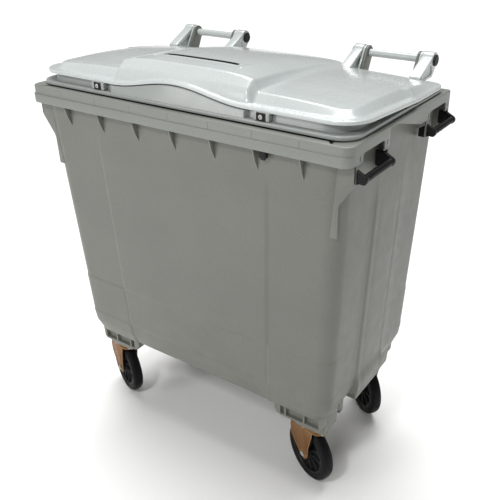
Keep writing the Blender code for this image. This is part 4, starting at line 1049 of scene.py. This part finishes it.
def hub_mesh():
    side = [(0.084, 0), (0.084, 0.0168), (0.0832, 0.0176), (0.0785, 0.0176), (0.0775, 0.0165),
            (0.0755, 0.0075), (0.0735, 0.0062), (0.03, 0.0062), (0.027, 0.008), (0.0245, 0.018),
            (0.022, 0.02), (0.02, 0.0278), (0.019, 0.0284), (0.008, 0.0284), (0.0066, 0.027)]
    profile = side + [(r, -y) for r, y in side[:0:-1]]
    disc = lathe_mesh(profile, on_axle(0), on_axle(1), 72)
    rib = [(0.0235, 0), (0.0235, 0.017), (0.03, 0.015), (0.0745, 0.014), (0.0745, 0)]
    ribs = []
    for face in (-1, 1):
        for i in range(10):
            plate = bevelled(plate_mesh([(x, face * y) for x, y in rib], "Z", -0.0016, 0.0016), 0.0005, 1)
            turn = Matrix.Translation(on_axle(0)) @ Matrix.Rotation(math.radians(36 * i), 4, "Y")
            ribs.append((plate, turn))
    return joined(disc, *ribs)


def leg_outline():
    leg = [(-0.012, 0.2402), (-0.01, 0.22), (0.0085, 0.15)] + arc((TRAIL, WHEEL_R), 0.023, 180, 320, 14)
    return leg + [(0.094, 0.139), (0.103, 0.15), (0.109, 0.164), (0.112, 0.19), (0.112, 0.22),
                  (0.105, 0.227), (0.06, 0.2402)]


def fork_mesh():
    parts = []
    outline = leg_outline()
    washer = [(0.0064, 0), (0.015, 0), (0.016, 0.0006), (0.016, 0.0016), (0.0064, 0.0016)]
    for side in (-1, 1):
        parts.append(bevelled(plate_mesh(outline, "Y", side * 0.0295, side * 0.0335), 0.0009, 2))
        for edge in (outline[15:], outline[:4]):
            parts.append(tube_mesh([(x, side * 0.0325, z) for x, z in edge], 0.0018, 8))
        parts.append(lathe_mesh(washer, on_axle(side * 0.033), on_axle(side * 2), 40))
    bridge = plate_mesh([(-0.012, -0.0335), (0.042, -0.0335), (0.042, 0.0335), (-0.012, 0.0335),
                         (-0.029, 0.027), (-0.0385, 0.012), (-0.0385, -0.012), (-0.029, -0.027)],
                        "Z", 0.2362, 0.2402)
    parts.append(bevelled(bridge, 0.001, 2))
    head = [(0.0064, 0.2385), (0.0345, 0.2385), (0.0365, 0.24), (0.037, 0.242), (0.036, 0.2438),
            (0.034, 0.2444), (0.034, 0.2456), (0.0358, 0.2462), (0.0366, 0.2478), (0.0358, 0.2496),
            (0.034, 0.2504), (0.0064, 0.2504)]
    parts.append(lathe_mesh(head, segments=56))
    return joined(*parts)


def hexagon(radius, start, end):
    """A hexagonal bolt head or nut with chamfered corners."""
    length = (Vector(end) - Vector(start)).length
    blank = lathe_mesh([(0, 0), (radius, 0), (radius, length), (0, length)], start, end, 6)
    return bevelled(blank, min(0.0009, length / 4), 2)


def make_castor(name):
    """One castor, with its own frame turned and moved to where the CAD has its kingpin and axle."""
    swivel = JOINTS[f"swivel_{name}_turn"]["pos_m"]
    axle = JOINTS[f"wheel_{name}_spin"]["pos_m"]
    heading = math.atan2(axle[1] - swivel[1], axle[0] - swivel[0])
    fixed = Matrix.Translation((swivel[0], swivel[1], 0))
    turned = fixed @ Matrix.Rotation(heading, 4, "Z")
    wheel, fork = "wheel_" + name, "swivel_" + name

    def add(label, mesh, body, look, node, matrix=turned):
        mesh.transform(matrix)
        piece(f"{label}_{name}", mesh, body, look, node and f"{node}_{name}", shift=False)

    add("castor_tyre", tyre_mesh(), wheel, TYRE, "tyre")
    add("castor_hub", hub_mesh(), wheel, BLACK, "wheel_hub")
    add("castor_fork", fork_mesh(), fork, CHROMATE, "fork")
    bolt = joined(rounded_rod(0.006, on_axle(-LEG_FACE - 0.002), on_axle(LEG_FACE + 0.0085), 0.0008, 32),
                  hexagon(HEX_R, on_axle(-LEG_FACE - 0.0065), on_axle(-LEG_FACE - 0.0016)))
    add("castor_bolt", bolt, fork, STEEL, "axle_bolt")
    nut = hexagon(HEX_R, on_axle(LEG_FACE + 0.0016), on_axle(LEG_FACE + 0.0065))
    add("castor_nut", joined(nut), fork, STEEL, "axle_nut")
    outline = plan_path(0.045, 0.034, 0.034, 0.006, 0.006, [0], [0], 4)
    plate = plate_mesh(outline, "Z", 0.2507, PAD_BASE - 0.0003)
    add("castor_top_plate", bevelled(plate, 0.0006, 2), "bin_body", CHROMATE, "castor_plate", fixed)
    bolts = []
    for x in (-0.0375, 0.0375):
        for y in (-0.027, 0.027):
            bolts.append(hexagon(0.006, (x, y, 0.245), (x, y, 0.2494)))
            bolts.append(rounded_rod(0.0072, (x, y, 0.249), (x, y, 0.2509), 0.0004, 32))
    add("castor_plate_bolts", joined(*bolts), "bin_body", STEEL, None, fixed)
    pin = joined(rounded_rod(0.006, (0, 0, 0.2345), (0, 0, PAD_BASE - 0.0006), 0.0006, 32),
                 hexagon(HEX_R, (0, 0, 0.2286), (0, 0, 0.2356)))
    add("castor_kingpin", pin, "bin_body", STEEL, "kingpin", fixed)
    if name.startswith("rear"):
        pin = rounded_rod(0.003, (BRAKE_X, -0.029, BRAKE_Z), (BRAKE_X, 0.029, BRAKE_Z), 0.0004, 24)
        add("castor_brake_pin", pin, fork, STEEL, "brake_pin")
        outline = [(BRAKE_X + x, BRAKE_Z + z) for x, z in arc((0, 0), 0.0058, 60, 300, 14) + list(PEDAL)]
        pedal = bevelled(plate_mesh(outline, "Y", -0.025, 0.025), 0.0012, 3)
        grips = [tube_mesh([(BRAKE_X + x, end * 0.02, BRAKE_Z + z) for end in (-1, 1)], 0.001, 8)
                 for x, z in ((0.04, 0.0024), (0.048, 0.0017), (0.056, 0.001))]
        add("castor_brake", joined(pedal, *grips), "brake_" + name, BLACK, "brake_pedal")


# ---------------------------------------------------------------- stage
def make_stage():
    floor = placed("floor", box_mesh((-30, -30, -0.05), (30, 30, 0.0)))
    nodes = Nodes("pale_floor")
    colour = nodes.mix(nodes.noise(3.0, 2.0), (0.86, 0.86, 0.85), (0.88, 0.88, 0.87))
    floor.data.materials.append(nodes.finish(colour, nodes.range(nodes.noise(40.0), 0.0, 1.0, 0.7, 0.8)))
    world = bpy.data.worlds.new("studio")
    world.use_nodes = True
    background = world.node_tree.nodes["Background"]
    background.inputs["Color"].default_value = (1.0, 1.0, 1.0, 1.0)
    background.inputs["Strength"].default_value = WORLD_STRENGTH
    bpy.context.scene.world = world
    bpy.context.scene.view_settings.view_transform = "Standard"
    overhead = bpy.data.lights.new("overhead", "SUN")
    overhead.angle = math.radians(50)
    overhead.energy = OVERHEAD_STRENGTH
    add_light(overhead, (-0.6, 1.0, 4.0), (0.0, 0.0, 0.0))
    for name, place, aim, size, power in SOFT_LIGHTS:
        light = bpy.data.lights.new(name, "AREA")
        light.shape = "SQUARE"
        light.size = size
        light.energy = power
        add_light(light, place, aim)


def add_light(light, place, aim):
    lamp = placed(light.name, light)
    lamp.location = place
    lamp.rotation_euler = (Vector(aim) - Vector(place)).to_track_quat("-Z", "Y").to_euler()


def make_camera():
    azimuth, elevation, roll = [math.radians(angle) for angle in CAMERA_ANGLES]
    level = math.cos(elevation)
    back = Vector((math.sin(azimuth) * level, -math.cos(azimuth) * level, math.sin(elevation)))
    camera = placed("camera", bpy.data.cameras.new("camera"))
    camera.data.sensor_width = 36
    camera.data.lens = CAMERA_LENS
    camera.data.shift_x, camera.data.shift_y = CAMERA_SHIFT
    turn = (-back).to_track_quat("-Z", "Y").to_matrix() @ Matrix.Rotation(roll, 3, "Z")
    place = RIM_CENTRE + Vector(CAMERA_AIM) + back * CAMERA_DISTANCE
    camera.matrix_world = Matrix.Translation(place) @ turn.to_4x4()
    bpy.context.scene.camera = camera


make_camera()
make_stage()
make_tub()
make_lids()
make_locks()
for name, side in (("left", -1), ("right", 1)):
    make_hinge(name, side)
for end in HANDLE_Y:
    make_handle(end, "right", 1)
make_fittings()
for name in CASTOR_NAMES:
    make_castor(name)
